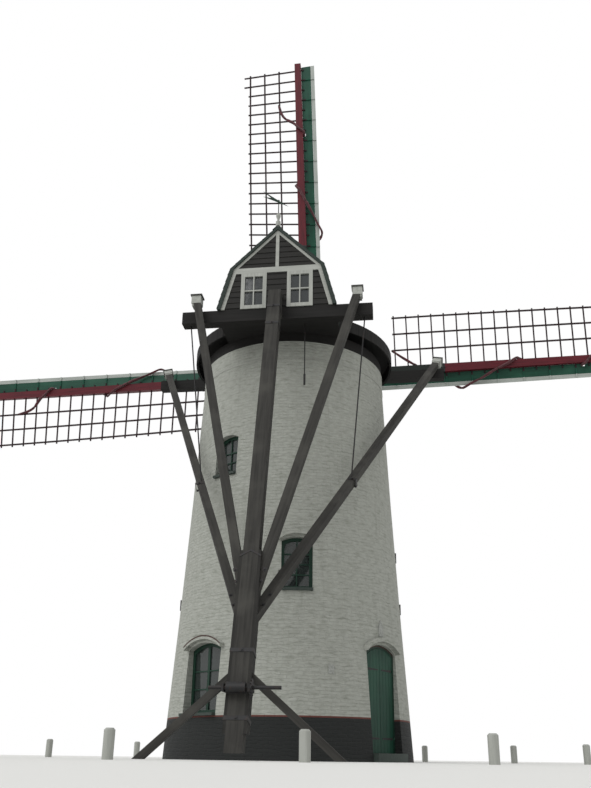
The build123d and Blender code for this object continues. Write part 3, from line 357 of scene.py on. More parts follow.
# Finish and slot of the CAD nodes; wood is dressed last, with its grain marked
plainDress = (
    ("floorBrick", "stone_floor", "ground_floor"),
    ("wall", "limewashed_brick", "side_walls corner_walls end_walls wall_over_doors window_hoods"),
    ("blueStone", "sill_stone", "door_steps window_sills"),
    ("stone", "plate_stone", "wall_plates"),
    ("glass", "window_glass", "window_glass"),
    ("capGlass", "window_glass", "cap_glass"),
    ("washedIron", "black_iron", "iron_hoop"),
    ("iron", "black_iron", "wall_irons brace_irons windlass_brackets windlass"),
    ("greenPaint", "painted_sheet", "vane"),
    ("castIron", "cast_iron", "windshaft poll_end"),
    ("latticeTar", "lattice_timber", "sail_frames"),
)
woodDress = (
    ("deal", "floor_boards", "upper_floors"),
    # Curb, cap ring, sheers, skirt, soffit and sprit beams take the darker tar, as painted shade under the
    # cap
    ("tarredOak", "oak", "curb cap_ring sheers"),
    ("capOak", "oak", "trestles"),
    ("greenPaint", "green_joinery", "window_frames door_frames"),
    ("tarredOak", "cap_boards", "cap_skirt cap_soffit"),
    ("tarredBoards", "cap_boards", "gables"),
    ("roofOak", "roof_felt", "roof_left roof_right"),
    ("whitePaint", "white_paint", "gable_trim cap_windows finial winding_posts"),
    ("tarredOak", "weathered_timber", "sprit_beams"),
    ("tailOak", "weathered_timber", "tail_pole short_braces long_braces props"),
    ("cheekOak", "weathered_timber", "tail_cheeks"),
    ("stock", "stock_paint", "stocks"),
    ("doorPaint", "green_joinery", "rear_door_left rear_door_right front_door_left front_door_right"),
)
for finish, slotName, nodes in plainDress:
    for node in nodes.split():
        dress(node, finish)
for finish, slotName, nodes in woodDress:
    for node in nodes.split():
        markGrain(dress(node, finish))
markGrain(frame["nodes"]["sail_frames"])

# The finial's wood is white up to this height, the rod on top of it is bare iron
finialWoodTop = 13.1
finial = frame["nodes"]["finial"]
finial.data.materials.append(finishes["iron"])
for polygon in finial.data.polygons:
    polygon.material_index = 1 if polygon.center.z > finialWoodTop else 0
markGrain(frame["nodes"]["vane"])
print("CAD nodes dressed")


# Finished piece from a bmesh: it rides a body and may stand for CAD nodes
def finishPiece(name, shape, body, finish, replaced=(), wood=True):
    bmesh.ops.recalc_face_normals(shape, faces=shape.faces)
    mesh = bpy.data.meshes.new(name)
    shape.to_mesh(mesh)
    shape.free()
    piece = bpy.data.objects.new(name, mesh)
    bpy.context.scene.collection.objects.link(piece)
    for key in [finish] if isinstance(finish, str) else finish:
        mesh.materials.append(finishes[key])
    if wood:
        markGrain(piece)
    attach(piece, body)
    if replaced:
        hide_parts(*replaced)
    return piece


# Solid between two like outlines, given as points
def addPrism(shape, first, second, material=0):
    front = [shape.verts.new(point) for point in first]
    back = [shape.verts.new(point) for point in second]
    faces = [shape.faces.new(front), shape.faces.new(list(reversed(back)))]
    for i, corner in enumerate(front):
        follower = (i + 1) % len(front)
        faces.append(shape.faces.new((front[follower], corner, back[i], back[follower])))
    for face in faces:
        face.material_index = material


# Prism whose outline is given across X and Y of a frame and which stands from low to high along its Z
def addRaised(shape, place, outline, low, high, material=0):
    ends = ([place @ Vector((x, y, level)) for x, y in outline] for level in (low, high))
    addPrism(shape, *ends, material)


# Box from its lowest to its highest corner in a frame of its own
def addBox(shape, low, high, place=Matrix.Identity(4), material=0):
    x0, y0, z0 = low
    x1, y1, z1 = high
    addRaised(shape, place, ((x0, y0), (x1, y0), (x1, y1), (x0, y1)), z0, z1, material)


# Frame that looks outwards from the tower at an azimuth: X across, Y up, Z outwards
def facing(azimuth, distance, height=0.0):
    angle = radians(azimuth)
    outwards = Vector((cos(angle), sin(angle), 0))
    across = Vector((-sin(angle), cos(angle), 0))
    place = Matrix((across, Vector((0, 0, 1)), outwards)).transposed().to_4x4()
    place.translation = outwards * distance + Vector((0, 0, height))
    return place


# Frame at a point with Z along a direction and X as near as may be to the world's X
def aimed(origin, direction):
    zAxis = Vector(direction).normalized()
    xAxis = (Vector((1, 0, 0)) - zAxis * zAxis.x).normalized()
    place = Matrix((xAxis, zAxis.cross(xAxis), zAxis)).transposed().to_4x4()
    place.translation = origin
    return place


# Ring of flat iron round a squared timber that runs along Z, with a nut on its side towards -Y
def addBand(shape, place, halfX, halfY, low, high, thickness=0.008):
    outX, outY = halfX + thickness, halfY + thickness
    for x0, y0, x1, y1 in (
        (-outX, -outY, outX, -halfY),
        (-outX, halfY, outX, outY),
        (-outX, -halfY, -halfX, halfY),
        (halfX, -halfY, outX, halfY),
    ):
        addBox(shape, (x0, y0, low), (x1, y1, high), place)
    addNut(shape, place @ Matrix.Translation((0, -outY, (low + high) / 2)))


# Six-sided nut on a square washer; it faces -Y
def addNut(shape, place, size=0.018):
    addBox(shape, (-2 * size, -0.006, -2 * size), (2 * size, 0.001, 2 * size), place)
    outline = [(size * cos(pi * i / 3), size * sin(pi * i / 3)) for i in range(6)]
    addPrism(shape, *([place @ Vector((x, y, z)) for x, z in outline] for y in (-0.024, -0.005)))


# Smooth line through given points, in even steps
def smoothLine(points, step):
    given = np.array(points, dtype=float)
    gaps = np.linalg.norm(np.diff(given, axis=0), axis=1)
    reached = np.concatenate([[0], np.cumsum(gaps)])
    count = len(given)
    system = np.eye(count)
    bends = np.zeros_like(given)
    for i in range(1, count - 1):
        system[i, i - 1 : i + 2] = gaps[i - 1], 2 * (gaps[i - 1] + gaps[i]), gaps[i]
        bends[i] = 6 * ((given[i + 1] - given[i]) / gaps[i] - (given[i] - given[i - 1]) / gaps[i - 1])
    bends = np.linalg.solve(system, bends)
    wanted = np.linspace(0, reached[-1], int(reached[-1] / step) + 1)
    spans = np.clip(np.searchsorted(reached, wanted, side="right") - 1, 0, count - 2)
    gap = gaps[spans][:, None]
    ahead = (reached[spans + 1] - wanted)[:, None]
    behind = (wanted - reached[spans])[:, None]
    curved = (bends[spans] * ahead**3 + bends[spans + 1] * behind**3) / (6 * gap)
    nearEnd = (given[spans] / gap - bends[spans] * gap / 6) * ahead
    farEnd = (given[spans + 1] / gap - bends[spans + 1] * gap / 6) * behind
    return curved + nearEnd + farEnd


# Sails: frame of a blade has X out along it, Y to its leading side, Z along the windshaft
sails = {
    "tilt": 6.75, "phase": -1.25, "stockOffset": 0.245, "reach": 11.585, "tipTwist": -3.8,
    "hubTwist": 20.6, "halfWidth": (0.145, 0.108), "halfDepth": (0.15, 0.075),
}


def bladeFrame(quarter):
    tilt = radians(sails["tilt"])
    turn = radians(sails["phase"] + 90 * quarter)
    axis = Vector((0, cos(tilt), sin(tilt)))
    along = Vector((0, -sin(tilt), cos(tilt))) * cos(turn) + Vector((1, 0, 0)) * sin(turn)
    place = Matrix((along, axis.cross(along), axis)).transposed().to_4x4()
    offset = sails["stockOffset"] if quarter % 2 else -sails["stockOffset"]
    place.translation = Vector(joints["sails_turn"]["pos_m"]) + axis * offset
    return place


# How far the sail turns out of its plane at a reach, in radians
def twistAt(reach):
    share = (sails["reach"] - reach) / sails["reach"]
    return radians(sails["tipTwist"] + (sails["hubTwist"] - sails["tipTwist"]) * share)


# Half the stock's width or depth at a reach; it narrows evenly from the hub to the tip
def stockHalf(reach, which="halfWidth"):
    atHub, atTip = sails[which]
    return atHub - (atHub - atTip) * reach / sails["reach"]


blades = [bladeFrame(quarter) for quarter in range(4)]
backwards = [place.inverted() for place in blades]


# A point of the sails in the frame of the blade that it lies furthest out on
def onBlade(point):
    return max((back @ point for back in backwards), key=lambda local: local.x)


# Boards are green with a white leading edge; the bars behind them keep a finish of their own
boards = {"bars": "latticeBars", "rearFace": -0.0125, "whiteEdge": -0.452}


def colourBoards():
    piece = dress("wind_boards", boards["bars"])
    for finish in ("boardPaint", "edgePaint"):
        piece.data.materials.append(finishes[finish])
    for polygon in piece.data.polygons:
        local = onBlade(polygon.center)
        twist = twistAt(local.x)
        across = -local.y * cos(twist) - local.z * sin(twist)
        off = local.y * sin(twist) - local.z * cos(twist)
        if off < boards["rearFace"]:
            polygon.material_index = 2 if across < boards["whiteEdge"] else 1
    markGrain(piece)


# Each vertex of the boards and their bars knows its place on its own blade
def markBladePlace():
    mesh = frame["nodes"]["wind_boards"].data
    local = [onBlade(vertex.co) for vertex in mesh.vertices]
    store = mesh.attributes.new("bladePlace", "FLOAT_VECTOR", "POINT")
    store.data.foreach_set("vector", np.array(local, dtype=np.float32).ravel())


colourBoards()
markBladePlace()

# Thin batten that narrows the gap between the stock and the boards, open where the cloth passes, and
# the pieces that close the notch around the cloth: reach from and to, off the stock from and to
batten = {
    "runs": ((2.36, 8.66), (8.785, 11.46)), "steps": 24, "fromStock": 0.008, "toBoard": 0.042,
    "off": (-0.034, -0.016), "notch": ((8.632, 8.662, 0.042, 0.093), (8.632, 8.788, 0.093, 0.119)),
}


# Point of the twisted sail: out along the blade, across it, and off its plane
def stationPoint(place, reach, across, off):
    twist = twistAt(reach)
    y = -across * cos(twist) + off * sin(twist)
    return place @ Vector((reach, y, -across * sin(twist) - off * cos(twist)))


battenShape = bmesh.new()
for place in blades:
    for start, end in batten["runs"]:
        loops = []
        for i in range(batten["steps"] + 1):
            reach = start + (end - start) * i / batten["steps"]
            half = stockHalf(reach)
            near, far = -half - batten["fromStock"], -half - batten["toBoard"]
            low, high = batten["off"]
            corners = ((near, low), (far, low), (far, high), (near, high))
            loops.append([battenShape.verts.new(stationPoint(place, reach, *corner)) for corner in corners])
        for loop, following in zip(loops, loops[1:]):
            for j in range(4):
                battenShape.faces.new((loop[j], loop[(j + 1) % 4], following[(j + 1) % 4], following[j]))
        battenShape.faces.new(list(reversed(loops[0])))
        battenShape.faces.new(loops[-1])
    for start, end, near, far in batten["notch"]:
        ends = []
        for reach in (start, end):
            half = stockHalf(reach)
            corners = [(-half - across, off) for across in (near, far) for off in batten["off"]]
            ends.append([stationPoint(place, reach, *corners[i]) for i in (0, 2, 3, 1)])
        addPrism(battenShape, *ends)
finishPiece("board_battens", battenShape, "sails", "boardPaint")

# Furled cloth: rolled up and wound round the stock and boards, tied to the lattice at both ends.
# Its points are reach, across and off in mm, as in the model; folds run round it in long spirals
furled = {
    "radius": 0.04, "fold": 0.008, "folds": 4, "foldShare": 0.6, "turnEvery": 1.7, "counterTurn": 5.3,
    "sides": 18, "step": 0.022, "slowSwell": (0.1, 3.1), "quickSwell": (0.06, 9.7), "endGirth": 0.45,
    "endTaper": 0.12, "tieEvery": 0.66, "tieReach": 0.05, "tieWaist": 0.22, "tieFlat": 0.6,
    "lineRadius": 0.005, "lineOff": 0.001, "lineSteps": 14, "lineTurns": (-1, 1),
    "endTurns": (-5, -3, -1, 1, 3, 5),
    "route": [
        (9950, 700, -84), (9600, 612, -80), (9380, 480, -74), (9160, 202, -106),
        (8980, 62, -144), (8842, -82, -142), (8758, -162, -100), (8710, -156, 0),
        (8664, -160, 104), (8578, -82, 140), (8400, 0, 138), (7800, 20, 144),
        (7200, 30, 150), (6982, 92, 154), (6868, 172, 112), (6780, 172, 0),
        (6692, 172, -112), (6558, 82, -156), (6380, -20, -152), (6000, -190, -136),
        (5570, -400, -14), (5200, -560, 20), (5060, -630, 60), (4980, -650, 120),
        (4900, -626, 176), (4780, -540, 196), (4560, -220, 176), (4300, -20, 168),
        (3800, 20, 172), (3642, 104, 178), (3538, 190, 122), (3482, 194, 0),
        (3410, 200, -110), (3250, 290, -170), (3020, 450, -200), (2760, 640, -256),
    ],
}


# Closed ring of line round the roll, six-sided in section
def addLineRing(shape, middle, side, other, tangent, radius):
    look = furled
    loops = []
    for i in range(look["lineSteps"]):
        angle = 2 * pi * i / look["lineSteps"]
        outwards = side * cos(angle) + other * sin(angle)
        loop = []
        for j in range(6):
            reach = radius + look["lineRadius"] * cos(pi * j / 3)
            off = tangent * look["lineRadius"] * sin(pi * j / 3)
            loop.append(shape.verts.new(middle + outwards * reach + off))
        loops.append(loop)
    for i, loop in enumerate(loops):
        following = loops[(i + 1) % len(loops)]
        for j in range(6):
            face = shape.faces.new((loop[j], loop[(j + 1) % 6], following[(j + 1) % 6], following[j]))
            face.material_index = 1


def addRoll(shape, place, lie, shift):
    look = furled
    points = [(reach, -across, off) for reach, across, off in look["route"]]
    line = smoothLine(points, look["step"] * 1000) / 1000
    tangents = np.gradient(line, axis=0)
    side = Vector((0, 0, 1))
    rings = []
    tied = 0
    for i, point in enumerate(line):
        middle = Vector(point)
        tangent = Vector(tangents[i]).normalized()
        side = (side - tangent * side.dot(tangent)).normalized()
        other = tangent.cross(side)
        run = i * look["step"]
        fromTie = abs((run + look["tieEvery"] / 2) % look["tieEvery"] - look["tieEvery"] / 2)
        pinch = exp(-((fromTie / look["tieReach"]) ** 2))
        fromEnd = min(i, len(line) - 1 - i) * look["step"]
        taper = min(1.0, look["endGirth"] + fromEnd / look["endTaper"])
        slow, slowTurn = look["slowSwell"]
        quick, quickTurn = look["quickSwell"]
        swell = 1 + slow * sin(slowTurn * run + shift) + quick * sin(quickTurn * run + 2 * shift)
        girth = look["radius"] * (1 - look["tieWaist"] * pinch) * taper * swell
        ring = []
        for j in range(look["sides"]):
            angle = 2 * pi * j / look["sides"]
            spiral = look["folds"] * angle + 2 * pi * run / look["turnEvery"] + shift
            counter = 2 * angle - look["counterTurn"] * run + shift
            folded = look["foldShare"] * cos(spiral) + (1 - look["foldShare"]) * cos(counter)
            crease = look["fold"] * folded * (1 - look["tieFlat"] * pinch)
            outwards = side * cos(angle) + other * sin(angle)
            vert = shape.verts.new(place @ (middle + outwards * (girth + crease)))
            vert[lie] = (run, girth * cos(angle), girth * sin(angle))
            ring.append(vert)
        rings.append(ring)
        atEnd = i in (2, len(line) - 3)
        if run >= tied * look["tieEvery"] or atEnd:
            tied += 1
            ways = [place.to_3x3() @ way for way in (side, other, tangent)]
            for number in look["endTurns"] if atEnd else look["lineTurns"]:
                centre = place @ (middle + tangent * number * look["lineRadius"])
                addLineRing(shape, centre, *ways, girth + look["lineOff"])
    for ring, following in zip(rings, rings[1:]):
        for j in range(look["sides"]):
            beside = (j + 1) % look["sides"]
            shape.faces.new((ring[j], ring[beside], following[beside], following[j]))
    shape.faces.new(list(reversed(rings[0])))
    shape.faces.new(rings[-1])


rolls = bmesh.new()
lieLayer = rolls.verts.layers.float_vector.new("clothLie")
for quarter, place in enumerate(blades):
    addRoll(rolls, place, lieLayer, 1.9 * quarter)
cloth = finishPiece(
    "furled_canvas", rolls, "sails", ("canvas", "hempLine"), ("furled_sails",), False
)
for polygon in cloth.data.polygons:
    polygon.use_smooth = True
print("sail cloth and boards done")

# White sleeves with dark lids on the upper ends of the braces
hoods = {
    "sleeve": 0.12, "collar": 0.104, "collarHeight": 0.06, "below": 0.09, "above": 0.125, "lid": 0.145,
    "lidThickness": 0.035, "edge": 0.004,
}
# The tail as in the model: it leans by its slope, and each brace runs up from a height on it
tail = {
    "slope": 0.2929, "beamTop": 10.37, "middle": -3.634, "half": 0.15, "cheekHalf": 0.205,
    "braceHalf": 0.09, "shortFoot": 2.78, "shortTop": (1.989, -3.4, 10.64), "longFoot": 2.35,
    "longTop": (4.06, 1.374, 11.03),
}


def tailPoint(x, z):
    return Vector((x, tail["middle"] + tail["slope"] * (z - tail["beamTop"]), z))


def braceLine(side, kind):
    x, y, z = tail[kind + "Top"]
    return tailPoint(side * tail["half"], tail[kind + "Foot"]), Vector((side * x, y, z))


def addHood(shape, place):
    for half, low, high, material in (
        (hoods["collar"], -hoods["below"] - hoods["collarHeight"], -hoods["below"], 0),
        (hoods["sleeve"], -hoods["below"], hoods["above"], 0),
        (hoods["lid"], hoods["above"], hoods["above"] + hoods["lidThickness"], 1),
    ):
        addBox(shape, (-half, -half, low), (half, half, high), place, material)


hoodShape = bmesh.new()
for side in (-1, 1):
    addHood(hoodShape, Matrix.Translation(braceLine(side, "short")[1]))
    foot, top = braceLine(side, "long")
    addHood(hoodShape, aimed(top, top - foot))
bmesh.ops.bevel(hoodShape, geom=hoodShape.edges[:], offset=hoods["edge"], segments=2, affect="EDGES")
finishPiece("brace_hoods", hoodShape, "cap", ("whitePaint", "tarredBoards"), ("brace_caps",))

# Bands, bolts and nuts of the winding tail. A band has its height above the ground, its own height and
# half its width; the strap at the top of the cheeks has its thickness and height and how far along the
# pole its ends and peak lie; bolts lie along a brace, and the brace band at a share of its length
tailIrons = {
    "bands": ((0.6, 0.07, 0.205), (1.75, 0.07, 0.205), (9.55, 0.06, 0.15), (10.1, 0.06, 0.15)),
    "strap": (0.008, 0.04, 3.72, 3.84),
    "bolts": {"short": (0.35, 0.6), "long": (0.4, 0.7)},
    "braceBandAt": 0.42,
    "braceBand": (-0.06, 0.02),
}
ironShape = bmesh.new()
pole = aimed(tailPoint(0, 0), tailPoint(0, 1) - tailPoint(0, 0))
lift = hypot(1, tail["slope"])
for z, height, half in tailIrons["bands"]:
    addBand(ironShape, pole, half, tail["half"], z * lift, (z + height) * lift)
thick, height, end, peak = tailIrons["strap"]
for side in (-1, 1):
    edge, face = side * tail["cheekHalf"], tail["half"]
    outline = [(0, peak + height), (0, peak), (edge, end), (edge, end + height)]
    for y in (-face, face + thick):
        addPrism(ironShape, *([pole @ Vector((x, y - out, z)) for x, z in outline] for out in (0, thick)))
    low = (edge - thick / 2, -face - thick, end)
    addBox(ironShape, low, (edge + thick / 2, face + thick, end + height), pole)
for side in (-1, 1):
    for kind, steps in tailIrons["bolts"].items():
        foot, top = braceLine(side, kind)
        run = aimed(foot, top - foot)
        for step in steps:
            addNut(ironShape, run @ Matrix.Translation((0, -tail["braceHalf"], step)))
    # Only the long braces, which come last, have a band
    low, high = ((top - foot).length * tailIrons["braceBandAt"] + off for off in tailIrons["braceBand"])
    addBand(ironShape, run, tail["braceHalf"], tail["braceHalf"], low, high)
finishPiece("tail_irons", ironShape, "cap", "iron")
print("tail done")

# Cap house: weatherboards on both gables, shingles and ridge boards on the roof
house = {
    "eaves": (1.47, 10.39), "knee": (1.18, 11.505), "ridge": (0.0, 12.69), "rear": -3.47, "front": 2.52,
    "rearGable": -3.4, "frontGable": 2.45, "window": (0.255, 0.895), "windowTop": 11.37,
    "poleHalf": 0.152, "poleTop": 10.7, "shaftHole": 0.325, "shaftHeight": 11.677,
}
# Weatherboards lap over each other and stop behind the bargeboards; scraps under the least are left out
gableBoards = {
    "height": 0.155, "lap": 0.012, "lip": 0.022, "head": 0.005, "least": 0.02, "underTrim": (0.15, 0.2),
    "underRidge": 0.25, "topHalf": 0.03,
}


# Half the width that boards cover at a height
def houseHalf(z):
    below, above = gableBoards["underTrim"]
    (eaves, eavesZ), (knee, kneeZ), (ridge, ridgeZ) = house["eaves"], house["knee"], house["ridge"]
    if z < kneeZ:
        return eaves + (knee - eaves) * (z - eavesZ) / (kneeZ - eavesZ) - below
    return knee + (ridge - knee) * (z - kneeZ) / (ridgeZ - kneeZ) - above


# Stretches of a board between the windows, the pole and the shaft
def gableSpans(low, high, rear):
    cuts = []
    inner, outer = house["window"]
    if rear and low < house["windowTop"]:
        cuts += [(-outer, -inner), (inner, outer)]
    if rear and low < house["poleTop"]:
        cuts.append((-house["poleHalf"], house["poleHalf"]))
    if not rear:
        away = max(low - house["shaftHeight"], house["shaftHeight"] - high, 0)
        if away < house["shaftHole"]:
            half = sqrt(house["shaftHole"] ** 2 - away**2)
            cuts.append((-half, half))
    edges = [-house["eaves"][0]] + [x for cut in sorted(cuts) for x in cut] + [house["eaves"][0]]
    return list(zip(edges[::2], edges[1::2]))


def addGableBoards(shape, y, outwards, rear):
    look = gableBoards
    z = house["eaves"][1] + look["lap"]
    while houseHalf(z + look["height"]) > look["topHalf"]:
        high = z + look["height"]
        top = high + look["lap"]
        for start, end in gableSpans(z, high, rear):
            corners = []
            for level in (z, top):
                half = max(houseHalf(min(level, house["ridge"][1] - look["underRidge"])), look["least"])
                corners.append((max(start, -half), min(end, half)))
            if min(right - left for left, right in corners) < look["least"]:
                continue
            (lowLeft, lowRight), (highLeft, highRight) = corners
            outs = (look["lip"], look["lip"], look["head"], look["head"])
            back = [(lowLeft, y, z), (lowRight, y, z), (highRight, y, top), (highLeft, y, top)]
            front = [(x, y + outwards * out, level) for (x, _, level), out in zip(back, outs)]
            addPrism(shape, back, front)
        z = high


boardShape = bmesh.new()
addGableBoards(boardShape, house["rearGable"], -1, True)
addGableBoards(boardShape, house["frontGable"], 1, False)
finishPiece("gable_boards", boardShape, "cap", "tarredBoards")

# Cleft shingles differ a little in width, length and how far they lift
shingles = {
    "exposure": 0.19, "overlap": 0.06, "width": 0.135, "butt": 0.016, "head": 0.003, "gap": 0.004,
    "stagger": 0.06, "ragged": 0.012, "spread": 0.5, "least": 0.02,
}
ridgeBoard = {"width": 0.17, "thickness": 0.022, "peak": 0.031, "lift": 0.012, "proud": 0.004}


# Direction down a slope of the roof and the one out of it, on one side of the ridge
def roofWays(side, start, end):
    down = Vector((end[0] - start[0], 0, end[1] - start[1])).normalized()
    down.x *= side
    return down, Vector((-down.z * side, 0, down.x * side))


def addShingles(shape, side, start, end, dice):
    look = shingles
    length = Vector((end[0] - start[0], 0, end[1] - start[1])).length
    down, normal = roofWays(side, start, end)
    origin = Vector((side * start[0], 0, start[1]))
    courses = round(length / look["exposure"])
    smallest = 1 - look["spread"] / 2
    for course in range(courses):
        butt = length * (course + 1) / courses
        y = house["rear"] - dice.random() * look["stagger"]
        while y < house["front"]:
            width = look["width"] * (smallest + look["spread"] * dice.random())
            near = max(y, house["rear"]) + look["gap"] / 2
            far = min(y + width, house["front"]) - look["gap"] / 2
            y += width
            if far - near < look["least"]:
                continue
            low = butt - look["ragged"] * dice.random()
            high = max(butt - look["exposure"] - look["overlap"], 0.0)
            lifted = look["butt"] * (smallest + look["spread"] * dice.random())
            corners = ((high, near), (low, near), (low, far), (high, far))
            under = [origin + down * reach + Vector((0, at, 0)) for reach, at in corners]
            rise = (look["head"], lifted, lifted, look["head"])
            over = [point + normal * up for point, up in zip(under, rise)]
            addPrism(shape, under, over)


dice = np.random.default_rng(7)
shingleShape = bmesh.new()
for side in (-1, 1):
    addShingles(shingleShape, side, house["ridge"], house["knee"], dice)
    addShingles(shingleShape, side, house["knee"], house["eaves"], dice)
    down, normal = roofWays(side, house["ridge"], house["knee"])
    ends = []
    for y in (house["rear"] - ridgeBoard["proud"], house["front"]):
        peak = Vector((0, y, house["ridge"][1] + ridgeBoard["lift"]))
        edge = peak + down * ridgeBoard["width"]
        crown = peak + Vector((0, 0, ridgeBoard["peak"]))
        ends.append([peak, edge, edge + normal * ridgeBoard["thickness"], crown])
    addPrism(shingleShape, *ends)
finishPiece("roof_shingles", shingleShape, "cap", "roofOak")

# Upright boards on the skirt, left out inside the cap house and at the front beam's ends
skirt = {
    "radius": 2.728, "low": 10.285, "high": 10.6, "boards": 72, "thickness": 0.012, "gap": 0.0012,
    "house": (1.62, 2.6), "beamFrom": 2, "beam": (1.05, 1.7),
}
skirtShape = bmesh.new()
half = pi / skirt["boards"] - skirt["gap"]
for i in range(skirt["boards"]):
    middle = 2 * pi * (i + 0.5) / skirt["boards"]
    x, y = skirt["radius"] * cos(middle), skirt["radius"] * sin(middle)
    inHouse = abs(x) < skirt["house"][0] and y < skirt["house"][1]
    atBeam = abs(x) > skirt["beamFrom"] and skirt["beam"][0] < y < skirt["beam"][1]
    if inHouse or atBeam:
        continue
    outline = []
    for depth, turn in ((0, -half), (0, half), (skirt["thickness"], half), (skirt["thickness"], -half)):
        reach = skirt["radius"] + depth
        outline.append((reach * cos(middle + turn), reach * sin(middle + turn)))
    addRaised(skirtShape, Matrix.Identity(4), outline, skirt["low"], skirt["high"])
# The skirt boards take the darker tar, as painted shade under the cap
finishPiece("skirt_boards", skirtShape, "cap", "tarredOak")
print("cap done")

# Door leaves: four boards each, with iron straps bolted across them
door = {
    "azimuth": -34, "face": 2.7181, "foot": 0.186, "half": 0.474, "height": 2.068, "rise": 0.17,
    "boards": 4, "proud": 0.005, "off": 0.0002, "gap": 0.003, "bottomGap": 0.004, "topGap": 0.006,
    "straps": (0.3, 1.768), "strapRoot": (0.44, 0.026), "strapTip": (0.06, 0.013), "strapOff": 0.0055,
    "strapFace": 0.012, "nutSize": 0.006, "nuts": (0.1, 0.2, 0.3, 0.4),
}


# Height of a round arch over its foot, at a distance from its middle
def archHeight(x, half, spring, rise):
    radius = (half**2 + rise**2) / (2 * rise)
    return spring + rise - radius + sqrt(max(radius**2 - x**2, 0))


def addLeaf(boards, irons, place, side):
    width = (door["half"] - door["gap"]) / door["boards"]
    for i in range(door["boards"]):
        near, far = (door["gap"] + (i + end) * width + (1 - 2 * end) * door["gap"] for end in (0, 1))
        outline = [(near, door["bottomGap"]), (far, door["bottomGap"])]
        for x in (far, (near + far) / 2, near):
            outline.append((x, archHeight(x, door["half"], door["height"], door["rise"]) - door["topGap"]))
        outline = [(side * x, y) for x, y in outline]
        addRaised(boards, place, outline, door["off"], door["proud"])
    (tip, tipHalf), (root, rootHalf) = door["strapTip"], door["strapRoot"]
    for height in door["straps"]:
        outline = [(side * tip, height - tipHalf), (side * root, height - rootHalf)]
        outline += [(side * root, height + rootHalf), (side * tip, height + tipHalf)]
        addRaised(irons, place, outline, door["strapOff"], door["strapFace"])
        for x in door["nuts"]:
            head = Matrix.Translation((side * x, height, door["strapFace"])) @ Matrix.Rotation(pi / 2, 4, "X")
            addNut(irons, place @ head, door["nutSize"])


for azimuth, where in ((door["azimuth"], "rear"), (door["azimuth"] + 180, "front")):
    for side, hand in ((-1, "left"), (1, "right")):
        leafBoards, leafIrons = bmesh.new(), bmesh.new()
        addLeaf(leafBoards, leafIrons, facing(azimuth, door["face"], door["foot"]), side)
        body = f"{where}_leaf_{hand}"
        finishPiece(f"{body}_boards", leafBoards, body, "doorPaint")
        finishPiece(f"{body}_straps", leafIrons, body, "iron")

# Windows: azimuth, face of the frame, width, bottom of the frame, height to the spring, rise, half the
# upright bar, and the heights of the cross bars as shares of the opening
windows = (
    (-126, 2.6344, 1.1, 0.96, 1.38, 0.14, 0.035, (0.36, 0.68)),
    (-79.4, 2.5312, 0.72, 3.62, 1.1, 0.09, 0.014, (0.27, 0.52, 0.77)),
    (-121.8, 2.3921, 0.7, 6.53, 0.92, 0.09, 0.014, (0.33, 0.66)),
)
windowBar = {"frame": 0.0755, "half": 0.014, "near": -0.004, "far": -0.0305, "topGap": 0.002, "step": 0.003}


def addBars(shape, turn, azimuth, face, width, foot, spring, rise, wide, bars):
    place = facing(azimuth + turn, face, foot)
    low = windowBar["frame"]
    half = width / 2 - low
    high = spring - low
    near, far, bar = windowBar["near"], windowBar["far"], windowBar["half"]
    addBox(shape, (-wide, low, far), (wide, high + rise - windowBar["topGap"], near), place)
    for share in bars:
        y = low + (high - low) * share
        for left, right in ((-half, -wide), (wide, half)):
            addBox(shape, (left, y - bar, far), (right, y + bar, near - windowBar["step"]), place)


barShape = bmesh.new()
for turn in (0, 180):
    for window in windows:
        addBars(barShape, turn, *window)
finishPiece("window_bars", barShape, "tower", "greenPaint")

# Thin painted line along the upper edge of the arches over the ground windows and doors: azimuth,
# distance, half the width, spring and rise
archLines = {"off": 0.0003, "proud": 0.004, "height": 0.03, "steps": 14}
arches = ((-126, 2.8874, 0.62, 2.43, 0.21), (door["azimuth"], 2.7185, 0.53, 2.325, 0.17))


def addArchLine(shape, turn, azimuth, distance, half, spring, rise):
    look = archLines
    place = facing(azimuth + turn, distance)
    for i in range(look["steps"]):
        x0, x1 = (-half + 2 * half * j / look["steps"] for j in (i, i + 1))
        y0, y1 = (archHeight(x, half, spring, rise) for x in (x0, x1))
        outline = [(x0, y0 - look["height"]), (x1, y1 - look["height"]), (x1, y1), (x0, y0)]
        addRaised(shape, place, outline, look["off"], look["proud"])


lineShape = bmesh.new()
for turn in (0, 180):
    for arch in arches:
        addArchLine(lineShape, turn, *arch)
finishPiece("arch_lines", lineShape, "tower", "redPaint")

# Bands on the stocks beside the hub and where their paint changes
stockBands = {"reaches": (0.62, 1.5, 4.38), "off": 0.001, "width": 0.05}
stockIrons = bmesh.new()
for place in blades:
    along = place @ Matrix(((0, 0, 1, 0), (1, 0, 0, 0), (0, 1, 0, 0), (0, 0, 0, 1)))
    for reach in stockBands["reaches"]:
        halves = [stockHalf(reach, way) + stockBands["off"] for way in ("halfWidth", "halfDepth")]
        addBand(stockIrons, along, *halves, reach, reach + stockBands["width"])
finishPiece("stock_bands", stockIrons, "sails", "iron")
print("doors, windows and bands done")

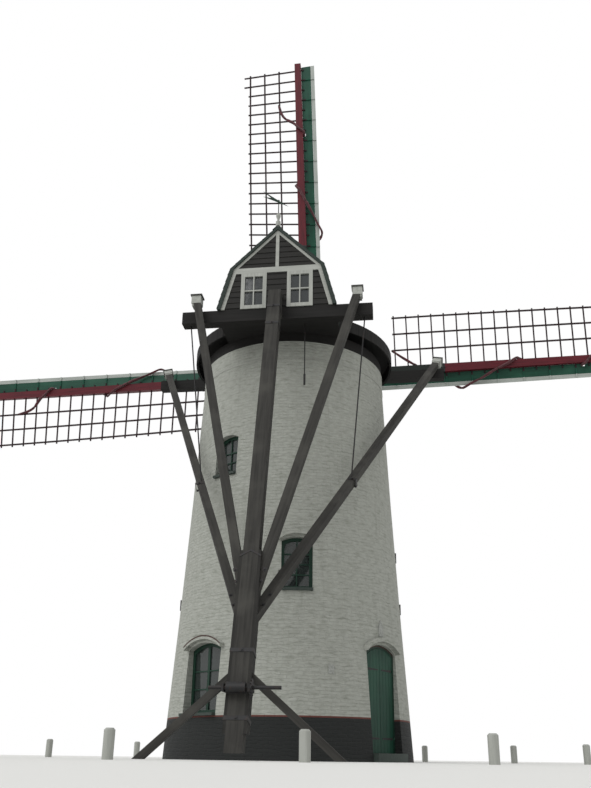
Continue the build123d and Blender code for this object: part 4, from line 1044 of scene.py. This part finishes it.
# Camera where the photographer stood, portrait, looking up past the tail
view = {
    "place": (2.7993, -20.6968, 0.06), "yaw": -7.4653, "pitch": 20.4483, "roll": 0.7731,
    "focalPixels": 819.01, "frameHeight": 788, "sensor": 36, "clipEnd": 400, "middleRight": 0.438,
    "middleDown": 58.779,
}
cameraData = bpy.data.cameras.new("camera")
cameraData.sensor_width = view["sensor"]
cameraData.lens = view["focalPixels"] * cameraData.sensor_width / view["frameHeight"]
cameraData.shift_x = -view["middleRight"] / view["frameHeight"]
cameraData.shift_y = view["middleDown"] / view["frameHeight"]
cameraData.clip_end = view["clipEnd"]
camera = bpy.data.objects.new("camera", cameraData)
turn = (
    Matrix.Rotation(radians(-view["yaw"]), 4, "Z")
    @ Matrix.Rotation(radians(90 + view["pitch"]), 4, "X")
    @ Matrix.Rotation(radians(view["roll"]), 4, "Z")
)
camera.matrix_world = Matrix.Translation(view["place"]) @ turn
bpy.context.scene.collection.objects.link(camera)
bpy.context.scene.camera = camera

# Plain pale floor, a white sky for the camera, and soft light from the left and above
studio = {
    "floorSize": 160.0, "floor": "#d9d9d6", "sky": 0.8, "sun": 1.3, "sunSpread": 45.0, "sunTurn": -38,
    "sunTilt": 52,
}
floorShape = bmesh.new()
half = studio["floorSize"] / 2
corners = ((-half, -half, 0), (half, -half, 0), (half, half, 0), (-half, half, 0))
floorShape.faces.new([floorShape.verts.new(corner) for corner in corners])
floorMesh = bpy.data.meshes.new("floor")
floorShape.to_mesh(floorMesh)
floorShape.free()
floor = bpy.data.objects.new("floor", floorMesh)
bpy.context.scene.collection.objects.link(floor)
floorPaint, floorTree, floorShader = startMaterial("pale studio floor")
setNode(floorTree, floorShader, {"Base Color": studio["floor"], "Roughness": 0.9})
floorMesh.materials.append(floorPaint)

world = bpy.data.worlds.new("studio")
world.use_nodes = True
bpy.context.scene.world = world
skyTree = world.node_tree
rays = addNode(skyTree, "LightPath", {})
seen = rays["Is Camera Ray"]
for kind in ("Is Glossy Ray", "Is Transmission Ray"):
    seen = addNode(skyTree, "Math", {"operation": "MAXIMUM", 0: seen, 1: rays[kind]})[0]
strength = addNode(skyTree, "MapRange", {"Value": seen, "To Min": studio["sky"], "To Max": 1.0})[0]
setNode(skyTree, skyTree.nodes["Background"], {"Strength": strength, "Color": (1, 1, 1, 1)})

sun = bpy.data.lights.new("soft sky light", "SUN")
sun.energy = studio["sun"]
sun.angle = radians(studio["sunSpread"])
sunObject = bpy.data.objects.new("soft sky light", sun)
sunTurn = Matrix.Rotation(radians(studio["sunTurn"]), 4, "Z")
sunObject.matrix_world = sunTurn @ Matrix.Rotation(radians(studio["sunTilt"]), 4, "X")
bpy.context.scene.collection.objects.link(sunObject)
bpy.context.scene.view_settings.view_transform = "Standard"
print("camera and light set")
